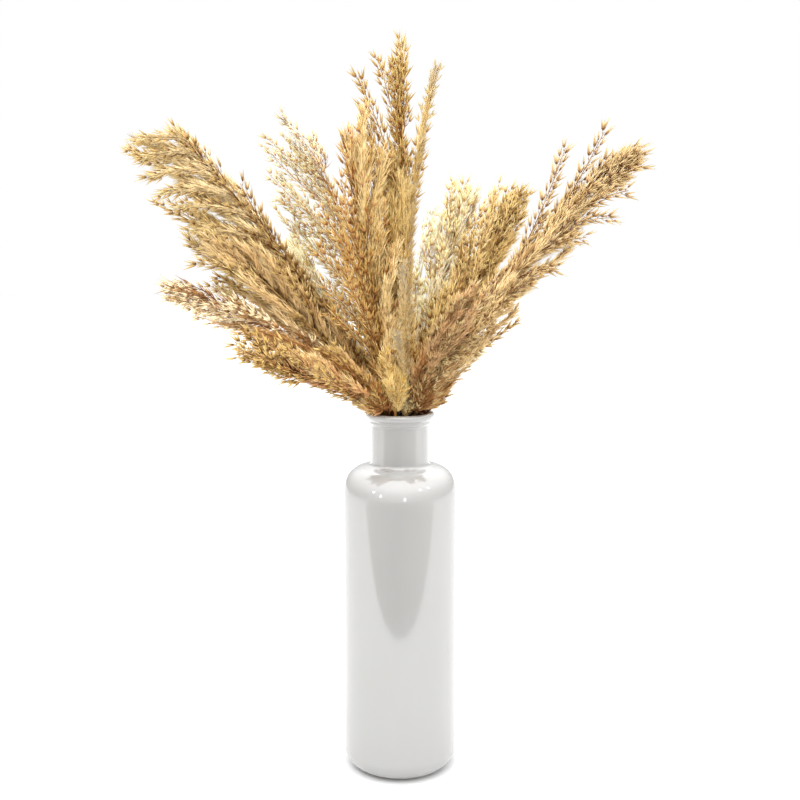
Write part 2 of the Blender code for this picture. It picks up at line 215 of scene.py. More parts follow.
# Each starts with its name, its tip, its angle at the mouth, how its stem arches, how far and how wide its
# side branches reach, the way they are swept, its slot and its colours
PLANS = [
    Plan(
        "plume_left_tall", (-0.178, -0.020, 0.528), 168, (0.0, 0.0, 0.030),
        0.092, 42, (-0.15, 0.15, -0.18), Slot.GOLDEN,
        Palette((126, 76, 38), (249, 223, 170), (234, 212, 150), (206, 172, 108), (238, 220, 150)),
        fluff=1.45, sprays=1.75, openness=1.5, tipped_share=0.18, top_shortening=0.50, foot_share=0.6,
        foot_shade=0.66, ladder_fluff=0.9,
        ladders=(
            (0.56, -0.156, -0.03, 0.452), (0.48, -0.149, -0.036, 0.438), (0.93, -0.198, -0.03, 0.511),
            (0.88, -0.195, -0.032, 0.498), (0.82, -0.191, -0.035, 0.484), (0.76, -0.181, -0.038, 0.472),
            (0.7, -0.169, -0.04, 0.462), (0.62, -0.159, -0.04, 0.444),
        ),
        dark_ladders=(
            (0.6, -0.124, -0.012, 0.481), (0.52, -0.111, -0.012, 0.46), (0.46, -0.105, -0.012, 0.448),
            (0.41, -0.092, -0.012, 0.432), (0.34, -0.081, -0.012, 0.417), (0.24, -0.061, -0.012, 0.392),
            (0.14, -0.044, -0.012, 0.367),
        ),
    ),
    Plan(
        "plume_left_middle", (-0.152, -0.042, 0.446), 189, (0.0, 0.0, 0.020),
        0.078, 40, (-0.12, 0.04, 0.07), Slot.PALE,
        Palette((110, 62, 32), (237, 201, 140), (243, 215, 162), (204, 174, 105), (232, 211, 146)),
        fluff=1.75, sprays=1.7, openness=0.7, tipped_share=0.18, foot_share=0.6, foot_shade=0.85,
        ladders=((0.72, -0.153, -0.050, 0.422),),
    ),
    Plan(
        "plume_left_arched", (-0.180, -0.066, 0.408), 210, (0.0, 0.0, 0.028),
        0.064, 36, (-0.08, -0.05, -0.06), Slot.BROWN,
        Palette((154, 100, 56), (207, 153, 91), (222, 182, 119), (250, 232, 188), (255, 254, 234)),
        fluff=1.45, fluff_top=0.64, sprays=1.4, openness=0.8, tipped_share=0.18, foot_share=0.6,
        foot_shade=0.78, ladder_tint=0.9,
        ladders=(
            (0.7, -0.165, -0.062, 0.396), (0.6, -0.151, -0.06, 0.387),
        ),
    ),
    Plan(
        "plume_left_low", (-0.119, -0.104, 0.364), 233, (-0.010, 0.0, 0.0),
        0.062, 40, (-0.08, -0.03, 0.14), Slot.GOLDEN,
        Palette((92, 44, 16), (243, 190, 127), (238, 214, 152), (221, 185, 109), (233, 212, 142)),
        fluff=1.45, fluff_top=0.72, sprays=1.7, openness=0.8, tipped_share=0.10, foot_share=0.6,
        foot_shade=0.95,
        ladders=(
            (0.6, -0.119, -0.1, 0.367), (0.52, -0.118, -0.1, 0.358), (0.7, -0.109, -0.11, 0.363),
        ),
    ),
    Plan(
        "plume_front_short", (-0.014, -0.048, 0.360), 257, (0.0, 0.0, 0.006),
        0.028, 26, (-0.10, 0.0, 0.0), Slot.PALE,
        Palette((228, 168, 88), (255, 225, 152), (253, 226, 156), (225, 185, 97), (244, 227, 138)),
        fluff=1.6, hair=0.007, sprays=2.0, openness=0.7, foot_shade=0.15, husk_size=0.0080,
    ),
    Plan(
        "plume_front_feather", (0.027, -0.048, 0.562), 284, (-0.024, -0.010, 0.0),
        0.017, 18, (0.10, 0.0, 0.0), Slot.PALE,
        Palette((253, 223, 146), (214, 180, 110), (170, 152, 130), (178, 158, 111), (215, 195, 142)),
        fluff=2.6, hair=0.0065, sprays=2.2, openness=0.1, bare_share=0.0, tipped_share=0.08,
        foot_width=0.2, foot_shade=0.0, husk_size=0.0080, ladder_fluff=1.3, ladder_tint=0.98,
        ladders=(
            (0.84, 0.027, -0.048, 0.565), (0.02, -0.002, -0.046, 0.37), (0.28, 0.002, -0.042, 0.422),
        ),
    ),
    Plan(
        "plume_right_low", (0.056, -0.085, 0.404), 311, (0.0, 0.0, 0.018),
        0.056, 36, (0.05, -0.05, 0.0), Slot.BROWN,
        Palette((94, 64, 34), (210, 168, 116), (224, 176, 118), (205, 178, 120), (236, 210, 152)),
        fluff=1.3, sprays=1.8, openness=0.8,
        ladders=((0.45, 0.059, -0.070, 0.355),),
    ),
    Plan(
        "plume_right_long", (0.188, -0.020, 0.514), 352, (0.0, 0.0, 0.032),
        0.060, 36, (0.02, 0.0, -0.06), Slot.GOLDEN,
        Palette((130, 68, 32), (251, 221, 164), (238, 207, 152), (211, 181, 125), (229, 206, 146)),
        fluff=1.1, fluff_top=0.84, sprays=1.5, openness=0.9, bare_share=0.3, tipped_share=0.3,
        top_shortening=0.30, husk_size=0.0118, ladder_tint=0.35,
        ladders=(
            (0.50, 0.128, -0.010, 0.508), (0.62, 0.157, -0.015, 0.520), (0.62, 0.141, -0.040, 0.440),
            (0.54, 0.119, -0.045, 0.417), (0.46, 0.100, -0.040, 0.408), (0.30, 0.071, -0.040, 0.377),
            (0.8, 0.186, -0.035, 0.495), (0.74, 0.172, -0.04, 0.475), (0.68, 0.161, -0.042, 0.455),
            (0.38, 0.081, -0.045, 0.392), (0.36, 0.103, 0.0, 0.433), (0.44, 0.116, 0.0, 0.459),
        ),
    ),
    Plan(
        "plume_right_upright", (0.107, 0.035, 0.480), 20, (0.0, 0.0, 0.020),
        0.066, 36, (-0.05, 0.0, 0.05), Slot.GOLDEN,
        Palette((144, 90, 51), (245, 211, 138), (234, 198, 132), (214, 185, 116), (225, 201, 127)),
        fluff_top=0.85, sprays=1.7, openness=2.0, bare_share=0.5,
        ladders=((0.6, 0.098, 0.030, 0.473),),
    ),
    Plan(
        "plume_right_pale", (0.060, 0.085, 0.484), 50, (0.0, 0.0, 0.018),
        0.064, 36, (0.0, 0.05, 0.05), Slot.PALE,
        Palette((219, 164, 90), (255, 239, 201), (237, 233, 210), (238, 224, 163), (255, 247, 187)),
        sprays=1.0, openness=1.3, bare_share=0.5, top_shortening=0.30, foot_shade=0.4,
        ladders=(
            (0.6, 0.043, 0.080, 0.482), (0.7, 0.054, 0.090, 0.479), (0.6, 0.085, 0.070, 0.482),
        ),
    ),
    Plan(
        "plume_back_pale_low", (0.030, 0.105, 0.468), 81, (0.0, 0.0, 0.020),
        0.046, 32, (0.0, 0.10, 0.0), Slot.PALE,
        Palette((237, 195, 136), (255, 247, 233), (255, 249, 239), (238, 240, 189), (253, 255, 225)),
        fluff=0.9, sprays=0.45, openness=0.6, top_shortening=0.30, foot_shade=0.2,
    ),
    Plan(
        "plume_back_pale_tall", (-0.076, 0.070, 0.530), 115, (0.0, 0.0, 0.018),
        0.074, 38, (-0.20, 0.05, -0.05), Slot.PALE,
        Palette((222, 162, 102), (250, 243, 220), (235, 236, 212), (225, 212, 162), (252, 245, 202)),
        fluff=0.6, sprays=0.7, openness=1.6, bare_share=0.45, top_shortening=0.30, foot_shade=0.2,
        husk_size=0.0096,
        ladders=(
            (0.72, -0.093, 0.070, 0.510), (0.62, -0.103, 0.060, 0.470),
        ),
    ),
    Plan(
        "plume_back_left", (-0.098, 0.090, 0.440), 145, (0.0, 0.0, 0.024),
        0.066, 36, (-0.10, 0.05, -0.10), Slot.PALE,
        Palette((222, 175, 111), (255, 245, 206), (255, 246, 212), (226, 206, 140), (252, 241, 190)),
        fluff=1.6, sprays=1.6, openness=0.4, foot_shade=0.2,
    ),
    Plan(
        "plume_centre_left", (-0.044, -0.010, 0.528), 200, (0.0, 0.0, 0.008),
        0.058, 34, (0.13, 0.0, 0.02), Slot.GOLDEN,
        Palette((174, 94, 36), (247, 217, 150), (236, 207, 148), (208, 168, 94), (223, 188, 108)),
        mouth_radius=0.0065, fluff=1.4, sprays=1.9, openness=1.9, bare_share=0.1, top_shortening=0.20,
        foot_shade=0.15,
        ladders=(
            (0.48, -0.046, -0.025, 0.484), (0.40, -0.045, -0.030, 0.463), (0.32, -0.047, -0.035, 0.442),
            (0.26, -0.046, -0.035, 0.421), (0.20, -0.040, -0.038, 0.405), (0.86, -0.036, -0.005, 0.521),
            (0.44, -0.06, -0.02, 0.459), (0.34, -0.063, -0.03, 0.43), (0.28, -0.06, -0.03, 0.404),
            (0.2, -0.054, -0.035, 0.383), (0.52, -0.054, -0.015, 0.476),
        ),
    ),
    Plan(
        "plume_centre_tall", (0.001, 0.020, 0.602), 50, (0.0, 0.0, 0.004),
        0.058, 28, (-0.08, 0.0, 0.03), Slot.GOLDEN,
        Palette((164, 95, 41), (235, 200, 123), (230, 204, 140), (193, 161, 90), (212, 179, 104)),
        mouth_radius=0.0055, fluff=1.4, fluff_top=0.74, sprays=2.0, openness=0.9, bare_share=0.15,
        top_shortening=0.66, foot_shade=0.0,
        ladders=(
            (0.72, -0.018, 0.01, 0.579), (0.63, -0.033, 0.0, 0.563), (0.55, -0.031, 0.005, 0.543),
            (0.48, -0.026, -0.005, 0.521), (0.4, -0.024, 0.0, 0.5), (0.8, -0.009, 0.0, 0.568),
            (0.6, 0.019, 0.01, 0.525), (0.52, 0.018, 0.01, 0.503),
        ),
    ),
]


class Bench:
    """A node tree under work."""

    def __init__(self, tree: bpy.types.NodeTree) -> None:
        """Keeps the tree."""
        self.tree = tree

    def feed(self, node: bpy.types.Node, feeds: Feeds) -> None:
        """Sets or links a node's inputs.

        Args:
            node: The node.
            feeds: A value, or the output to link, for each input.
        """
        for key, given in feeds.items():
            socket = node.inputs[key]
            if isinstance(given, Socket):
                self.tree.links.new(given, socket)
            else:
                socket.default_value = (*given, 1.0) if socket.type == "RGBA" else given

    def dress(self, feeds: Feeds) -> None:
        """Sets or links the inputs of the material's shader."""
        self.feed(self.tree.nodes["Principled BSDF"], feeds)

    def add(self, kind: str, feeds: Feeds | None = None, **options: object) -> bpy.types.Node:
        """Adds a node.

        Args:
            kind: Its type, without the word ShaderNode.
            feeds: A value, or the output to link, for each input.
            options: Its own options.

        Returns:
            The node.
        """
        node = self.tree.nodes.new("ShaderNode" + kind)
        for option, choice in options.items():
            setattr(node, option, choice)
        self.feed(node, feeds or {})
        return node

    def span(
        self, value: Socket, low: float = 0.0, high: float = 1.0, to: tuple[Feed, Feed] = (0.0, 1.0),
        smooth: bool = False,
    ) -> Socket:
        """Maps a value from one range to another, and no further.

        Args:
            value: The value.
            low: Where its range starts.
            high: Where its range ends.
            to: The new range.
            smooth: Whether the ends are eased.

        Returns:
            The new value.
        """
        feeds = {"Value": value, "From Min": low, "From Max": high, "To Min": to[0], "To Max": to[1]}
        way = "SMOOTHSTEP" if smooth else "LINEAR"
        return self.add("MapRange", feeds, interpolation_type=way).outputs["Result"]

    def blend(self, share: Feed, first: Feed, second: Feed, way: str = "MIX") -> Socket:
        """Returns the mix of two colours, which are a Mix node's inputs 6 and 7 and its output 2."""
        feeds = {"Factor": share, 6: first, 7: second}
        return self.add("Mix", feeds, data_type="RGBA", blend_type=way).outputs[2]

    def reckon(self, way: str, first: Feed, second: Feed = 0.0) -> Socket:
        """Returns what a Math node makes of two values."""
        return self.add("Math", {0: first, 1: second}, operation=way).outputs["Value"]

    def noise(self, place: Socket, scale: float, detail: float) -> Socket:
        """Returns a noise from 0 to 1 over the places."""
        return self.add("TexNoise", {"Vector": place, "Scale": scale, "Detail": detail}).outputs["Fac"]

    def ridges(self, height: Socket, strength: float, depth: float) -> Socket:
        """Returns the normals of a surface that is raised by a height."""
        feeds = {"Height": height, "Strength": strength, "Distance": depth}
        return self.add("Bump", feeds).outputs["Normal"]

    def part(self, vector: Socket) -> "bpy.types.NodeOutputs":
        """Returns the X, Y and Z outputs of a vector."""
        return self.add("SeparateXYZ", {0: vector}).outputs


def new_material(name: str, feeds: Feeds) -> tuple[bpy.types.Material, Bench]:
    """Makes a material.

    Args:
        name: Its name.
        feeds: Its shader's own values.

    Returns:
        The material and the bench of its nodes.
    """
    material = bpy.data.materials.new(name)
    material.use_nodes = True
    bench = Bench(material.node_tree)
    bench.dress(feeds)
    return material, bench


def put(name: str, data: bpy.types.ID) -> bpy.types.Object:
    """Puts a new object in the scene.

    Args:
        name: Its name.
        data: Its mesh, light or camera.

    Returns:
        The object.
    """
    thing = bpy.data.objects.new(name, data)
    bpy.context.scene.collection.objects.link(thing)
    return thing


def put_bmesh(name: str, work: BMesh, material: bpy.types.Material) -> bpy.types.Object:
    """Puts an object with the shape of a bmesh in the scene, and frees the bmesh.

    Args:
        name: Its name.
        work: Its shape.
        material: Its finish.

    Returns:
        The object.
    """
    mesh = bpy.data.meshes.new(name)
    work.to_mesh(mesh)
    work.free()
    mesh.materials.append(material)
    return put(name, mesh)


@dataclass(frozen=True)
class Shape:
    """A small closed shape that stands on the origin along +Z and is one unit tall."""

    points: Array
    triangles: Array

    @classmethod
    def of(cls, work: BMesh) -> "Shape":
        """Reads a shape from a bmesh and frees it.

        Args:
            work: The closed mesh.

        Returns:
            Its points and triangles.
        """
        bmesh.ops.triangulate(work, faces=work.faces)
        bmesh.ops.recalc_face_normals(work, faces=work.faces)
        work.verts.ensure_lookup_table()
        points = np.array([v.co[:] for v in work.verts])
        triangles = np.array([[v.index for v in f.verts] for f in work.faces])
        work.free()
        return cls(points, triangles)


def add_cone(work: BMesh, radii: Pair, depth: float, matrix: Matrix) -> list:
    """Adds an upright three-sided cone.

    Args:
        work: The mesh that it joins.
        radii: Its radius at the foot and on top.
        depth: Its height.
        matrix: Where its middle goes.

    Returns:
        Its corners.
    """
    return bmesh.ops.create_cone(
        work, cap_ends=True, segments=3, radius1=radii[0], radius2=radii[1], depth=depth, matrix=matrix
    )["verts"]


def blade(belly: float) -> Shape:
    """Makes a four-faced blade that is pointed at both ends and bows to +Y.

    Args:
        belly: Height of its widest place.

    Returns:
        The blade.
    """
    slant = belly / 1.5
    work = bmesh.new()
    add_cone(work, (1, 0), 1 - slant, Matrix.Translation((0, 0, (1 - slant) / 2)))
    # One corner of the base comes down to be the foot, then foot and tip go onto the axis
    stand = Matrix(((1, 0, 0, 0), (0, 1, 0, 0), (0, -slant, 1, slant), (0, 0, 0, 1)))
    straighten = Matrix(((1, 0, 0, 0), (0, -1, -1, 1), (0, 0, 1, 0), (0, 0, 0, 1)))
    bmesh.ops.transform(work, matrix=straighten @ stand, verts=work.verts)
    return Shape.of(work)


def rod(rings: int, taper: float) -> Shape:
    """Makes a three-sided tapered rod.

    Args:
        rings: Number of pieces along it.
        taper: Thickness of its far end.

    Returns:
        The rod, one unit long and thick.
    """
    work = bmesh.new()
    add_cone(work, (1, taper), 1, Matrix.Translation((0, 0, 0.5)))
    for k in range(1, rings):
        every = work.verts[:] + work.edges[:] + work.faces[:]
        bmesh.ops.bisect_plane(work, geom=every, plane_co=(0, 0, k / rings), plane_no=(0, 0, 1))
    return Shape.of(work)


@dataclass(frozen=True)
class Spikelet:
    """One spikelet: two flat husks that part from one foot, and a slim core between them."""

    leans: tuple[Point, ...] = ((0, 21, 0.84), (180, 12, 1.0))
    flatness: float = 0.62
    aside: float = 0.02
    belly: float = 0.20
    waist: float = 0.40
    width: float = 0.086
    narrowing: float = 0.66
    core_turn: float = 80
    core_aside: float = 0.05
    core_belly: float = 0.25
    core_waist: float = 0.55
    core_width: float = 0.07

    @staticmethod
    def add_husk(work: BMesh, radii: Pair, belly: float, waist: float, tip: float, matrix: Matrix) -> None:
        """Adds one pointed husk that stands along +Z before it is moved.

        Args:
            work: The mesh that it joins.
            radii: Half its width at its thickest place and at the top of its waist.
            belly: Height of its thickest place.
            waist: Height of the part above that.
            tip: Height of the point on top, or 0 where the waist ends in a point.
            matrix: Where it goes.
        """
        made = add_cone(work, radii, waist, Matrix.Translation((0, 0, belly + waist / 2)))
        caps = sorted({f for v in made for f in v.link_faces}, key=lambda f: f.calc_center_median().z)
        for cap, offset in ((caps[0], belly), (caps[-1], tip)):
            if offset:
                cap.normal_update()
                made = made + bmesh.ops.poke(work, faces=[cap], offset=offset)["verts"]
        bmesh.ops.transform(work, matrix=matrix, verts=made)

    def shape(self) -> Shape:
        """Makes the spikelet.

        Returns:
            Its shape, one unit tall.
        """
        work = bmesh.new()
        radii = (self.width, self.width * self.narrowing)
        flat = Matrix.Diagonal((1.0, self.flatness, 1.0, 1.0))
        for turn, tilt, height in self.leans:
            round_axis = Matrix.Rotation(math.radians(turn), 4, "Z")
            aside = Matrix.Translation((self.aside, 0, 0))
            bow = Matrix.Rotation(math.radians(tilt), 4, "Y")
            tall = Matrix.Diagonal((1.0, 1.0, height, 1.0))
            tip = 1 - self.belly - self.waist
            self.add_husk(work, radii, self.belly, self.waist, tip, round_axis @ aside @ bow @ tall @ flat)
        turned = Matrix.Rotation(math.radians(self.core_turn), 4, "Z")
        place = turned @ Matrix.Translation((self.core_aside, 0, 0))
        self.add_husk(work, (self.core_width, 0), self.core_belly, self.core_waist, 0, place)
        return Shape.of(work)


@dataclass
class Bundle:
    """Copies of small shapes, gathered into one mesh."""

    points: list[Array] = field(default_factory=list)
    triangles: list[Array] = field(default_factory=list)
    places: list[Array] = field(default_factory=list)
    count: int = 0
    side_shade: float = 0.02

    def add(self, points: Array, triangles: Array, lift: Array, shade: Array) -> None:
        """Adds points and the triangles between them.

        Args:
            points: The points.
            triangles: Three of their numbers for each triangle.
            lift: Each point's texture place along the fibre.
            shade: Each point's texture place among the tints.
        """
        self.points.append(points.reshape(-1, 3))
        self.triangles.append(triangles.reshape(-1, 3) + self.count)
        self.places.append(np.stack([lift, shade], axis=-1).reshape(-1, 2))
        self.count += len(self.points[-1])

    def strew(
        self, shape: Shape, origin: Array, along: Array, facing: Array, width: Array | float, length: Array,
        rise: tuple[Array | float, Array | float], tint: Array, band: Pair, bend: Array | float = 0.0,
    ) -> None:
        """Adds a copy of a shape at each of many places.

        Args:
            shape: The shape that is copied.
            origin: Where each copy's foot is.
            along: The way each copy points.
            facing: A way that each copy's side turns to.
            width: Each copy's thickness.
            length: Each copy's length.
            rise: The texture heights of each copy's foot and far end.
            tint: Each copy's tint from 0 to 1.
            band: The lowest and highest texture place of the tints.
            bend: How far each copy's far end is pushed aside.
        """
        count = len(origin)
        width, low_end, high_end = (np.broadcast_to(value, count)[:, None] for value in (width, *rise))
        x_axis = unit(np.cross(facing, along))
        y_axis = np.cross(along, x_axis)
        x, y, z = shape.points.T
        local = x[:, None] * x_axis[:, None] + y[:, None] * y_axis[:, None]
        path = along[:, None] * (z[:, None] * length[:, None, None])
        arc = np.broadcast_to(bend, (count, 3))[:, None] * (z * z)[:, None]
        points = origin[:, None] + local * width[:, None] + path + arc
        starts = np.arange(count) * len(shape.points)
        lift = low_end + (high_end - low_end) * z
        low, high = band
        shade = low + (high - low) * np.clip(tint[:, None] + self.side_shade * (x + 0.5 * y), 0, 1)
        self.add(points, shape.triangles[None] + starts[:, None, None], lift, shade)

    def piece(self, name: str, material: bpy.types.Material) -> bpy.types.Object:
        """Makes the mesh object of all the copies.

        Args:
            name: The object's name.
            material: Its finish.

        Returns:
            The new object.
        """
        points = np.concatenate(self.points).astype(np.float32)
        triangles = np.concatenate(self.triangles).astype(np.int32)
        places = np.concatenate(self.places).astype(np.float32)
        mesh = bpy.data.meshes.new(name)
        mesh.vertices.add(len(points))
        mesh.vertices.foreach_set("co", points.ravel())
        mesh.loops.add(triangles.size)
        mesh.loops.foreach_set("vertex_index", triangles.ravel())
        mesh.polygons.add(len(triangles))
        mesh.polygons.foreach_set("loop_start", np.arange(0, triangles.size, 3, dtype=np.int32))
        mesh.update(calc_edges=True)
        layer = mesh.uv_layers.new(name=TEXTURE_MAP)
        layer.data.foreach_set("uv", places[triangles.ravel()].ravel())
        mesh.shade_smooth()
        mesh.materials.append(material)
        return put(name, mesh)


@dataclass(frozen=True)
class FibreGroup:
    """The shader group that colours dry fibre along its length, which every plume's finishes share."""

    name: str = "dry_fibre"
    body_from: float = 0.42
    tip_from: float = 0.45
    middle_tint: float = 0.5
    glow: Colour = (0.13, 0.125, 0.10)
    streak_scale: Point = (6.0, 160.0, 1.0)
    streak_detail: float = 3.0
    streak_levels: Pair = (0.78, 1.16)
    roughness: Pair = (0.55, 0.85)

    def tree(self) -> bpy.types.NodeTree:
        """Returns the group, which is built once."""
        return bpy.data.node_groups.get(self.name) or self.build()

    def build(self) -> bpy.types.NodeTree:
        """Builds the group.

        Returns:
            The group, from place along and tint to colour, roughness and ridges.
        """
        tree = bpy.data.node_groups.new(self.name, "ShaderNodeTree")
        colours = [("INPUT", name, "Color") for name in ("Root", "Body", "Tip", "Shade")]
        values = [("OUTPUT", name, "Float") for name in ("Roughness", "Ridges")]
        sockets = [("INPUT", "Place", "Vector"), *colours, ("OUTPUT", "Colour", "Color"), *values]
        for way, name, kind in sockets:
            tree.interface.new_socket(name, in_out=way, socket_type="NodeSocket" + kind)
        bench = Bench(tree)
        given = tree.nodes.new("NodeGroupInput").outputs
        parts = bench.part(given["Place"])
        along, tint = parts["X"], parts["Y"]
        lower = bench.span(along, high=self.body_from, smooth=True)
        colour = bench.blend(lower, given["Root"], given["Body"])
        colour = bench.blend(bench.span(along, self.tip_from, smooth=True), colour, given["Tip"])
        # Low tints are multiplied towards Shade: the fibre's own darker tone, and painted shade where tints
        # are lowered at a plume's foot and tuft
        darkness = bench.span(tint, self.middle_tint, 0.0, smooth=True)
        colour = bench.blend(darkness, colour, given["Shade"], "MULTIPLY")
        glow = bench.blend(bench.span(tint, self.middle_tint), BLACK, self.glow)
        colour = bench.blend(1.0, colour, glow, "ADD")
        stretched = bench.add("Mapping", {"Vector": given["Place"], "Scale": self.streak_scale})
        streaks = bench.noise(stretched.outputs["Vector"], 1.0, self.streak_detail)
        level = bench.span(streaks, to=self.streak_levels)
        grey = bench.add("CombineColor", dict.fromkeys(("Red", "Green", "Blue"), level))
        colour = bench.blend(1.0, colour, grey.outputs["Color"], "MULTIPLY")
        rough = bench.span(streaks, to=self.roughness)
        made = tree.nodes.new("NodeGroupOutput")
        bench.feed(made, {"Colour": colour, "Roughness": rough, "Ridges": streaks})
        return tree


@dataclass(frozen=True)
class FibreFinish:
    """Dry plant fibre, coloured from its root to its tip."""

    name: str
    root: Colour
    body: Colour
    tip: Colour
    shade: Colour
    sheen: float = 0.25
    ridge_strength: float = 0.4
    ridge_depth: float = 0.00004

    def material(self) -> bpy.types.Material:
        """Builds the material.

        Returns:
            The material, which reads the piece's own texture map.
        """
        material, bench = new_material(self.name, {"Specular IOR Level": self.sheen})
        place = bench.add("UVMap", uv_map=TEXTURE_MAP).outputs["UV"]
        feeds = {"Place": place, "Root": self.root, "Body": self.body, "Tip": self.tip, "Shade": self.shade}
        made = bench.add("Group", feeds, node_tree=FibreGroup().tree()).outputs
        normal = bench.ridges(made["Ridges"], self.ridge_strength, self.ridge_depth)
        bench.dress({"Base Color": made["Colour"], "Roughness": made["Roughness"], "Normal": normal})
        return material


@dataclass
class StemLine:
    """The line of one stem, from the vase's floor over its mouth to the plume's tip."""

    plan: Plan
    foot: Array = field(init=False)
    mouth: Array = field(init=False)
    handles: tuple[Array, Array] = field(init=False)
    step: float = 0.01
    measured: int = 41

    def __post_init__(self) -> None:
        """Works out the stem's ends and handles."""
        plan = self.plan
        leaning = plan.mouth_radius == EDGE
        radius = FOOT_RING if leaning else plan.mouth_radius
        angle = plan.mouth_angle - (SPIRAL_TURN if leaning else 0.0)
        self.foot = polar(radius, angle, FLOOR + SEAT_GAP + FOOT_LIFT)
        self.mouth = polar(plan.mouth_radius, plan.mouth_angle, VASE_HEIGHT - LIP_DEPTH)
        leave = self.mouth + unit(self.mouth - self.foot) * FIRST_BEND
        arrive = self.mouth + (np.array(plan.tip) - self.mouth) * ARRIVAL + np.array(plan.arch)
        self.handles = (leave, arrive)

    def at(self, t: Array | float) -> Array:
        """Works out points above the mouth.

        Args:
            t: Their places, from the mouth (0) to the tip (1).

        Returns:
            The points.
        """
        t = np.asarray(t, float)[..., None]
        u = 1 - t
        leave, arrive = self.handles
        tip = np.array(self.plan.tip)
        return self.mouth * u**3 + leave * (3 * u * u * t) + arrive * (3 * u * t * t) + tip * t**3

    def way(self, t: Array | float) -> Array:
        """Returns the directions at t."""
        t = np.asarray(t, float)
        return unit(self.at(t + self.step) - self.at(t - self.step))

    def length(self) -> float:
        """Returns the length above the mouth."""
        points = self.at(np.linspace(0, 1, self.measured))
        return float(np.linalg.norm(np.diff(points, axis=0), axis=1).sum())


@dataclass
class Sprays:
    """Side branches of one plume, with a row for each in every field."""

    root: Array
    heading: Array
    bend: Array
    length: Array
    tint: Array
    plane: Array
    fluff: Array
    husk_start: Array

    @classmethod
    def one(cls, **values: object) -> "Sprays":
        """Returns a single spray from the values of its fields."""
        return cls(**{name: np.array([value]) for name, value in values.items()})

    @classmethod
    def joined(cls, parts: list["Sprays"]) -> "Sprays":
        """Returns the sprays of all the parts."""
        names = [item.name for item in fields(cls)]
        return cls(*(np.concatenate([getattr(part, name) for part in parts]) for name in names))

    def at(self, which: Array, s: Array) -> Array:
        """Returns the points at s on the chosen sprays."""
        reach = self.heading[which] * s[:, None] + self.bend[which] * s[:, None] * s[:, None]
        return self.root[which] + reach * self.length[which][:, None]

    def way(self, which: Array, s: Array) -> Array:
        """Returns the directions at s on the chosen sprays."""
        return unit(self.heading[which] + 2 * self.bend[which] * s[:, None])


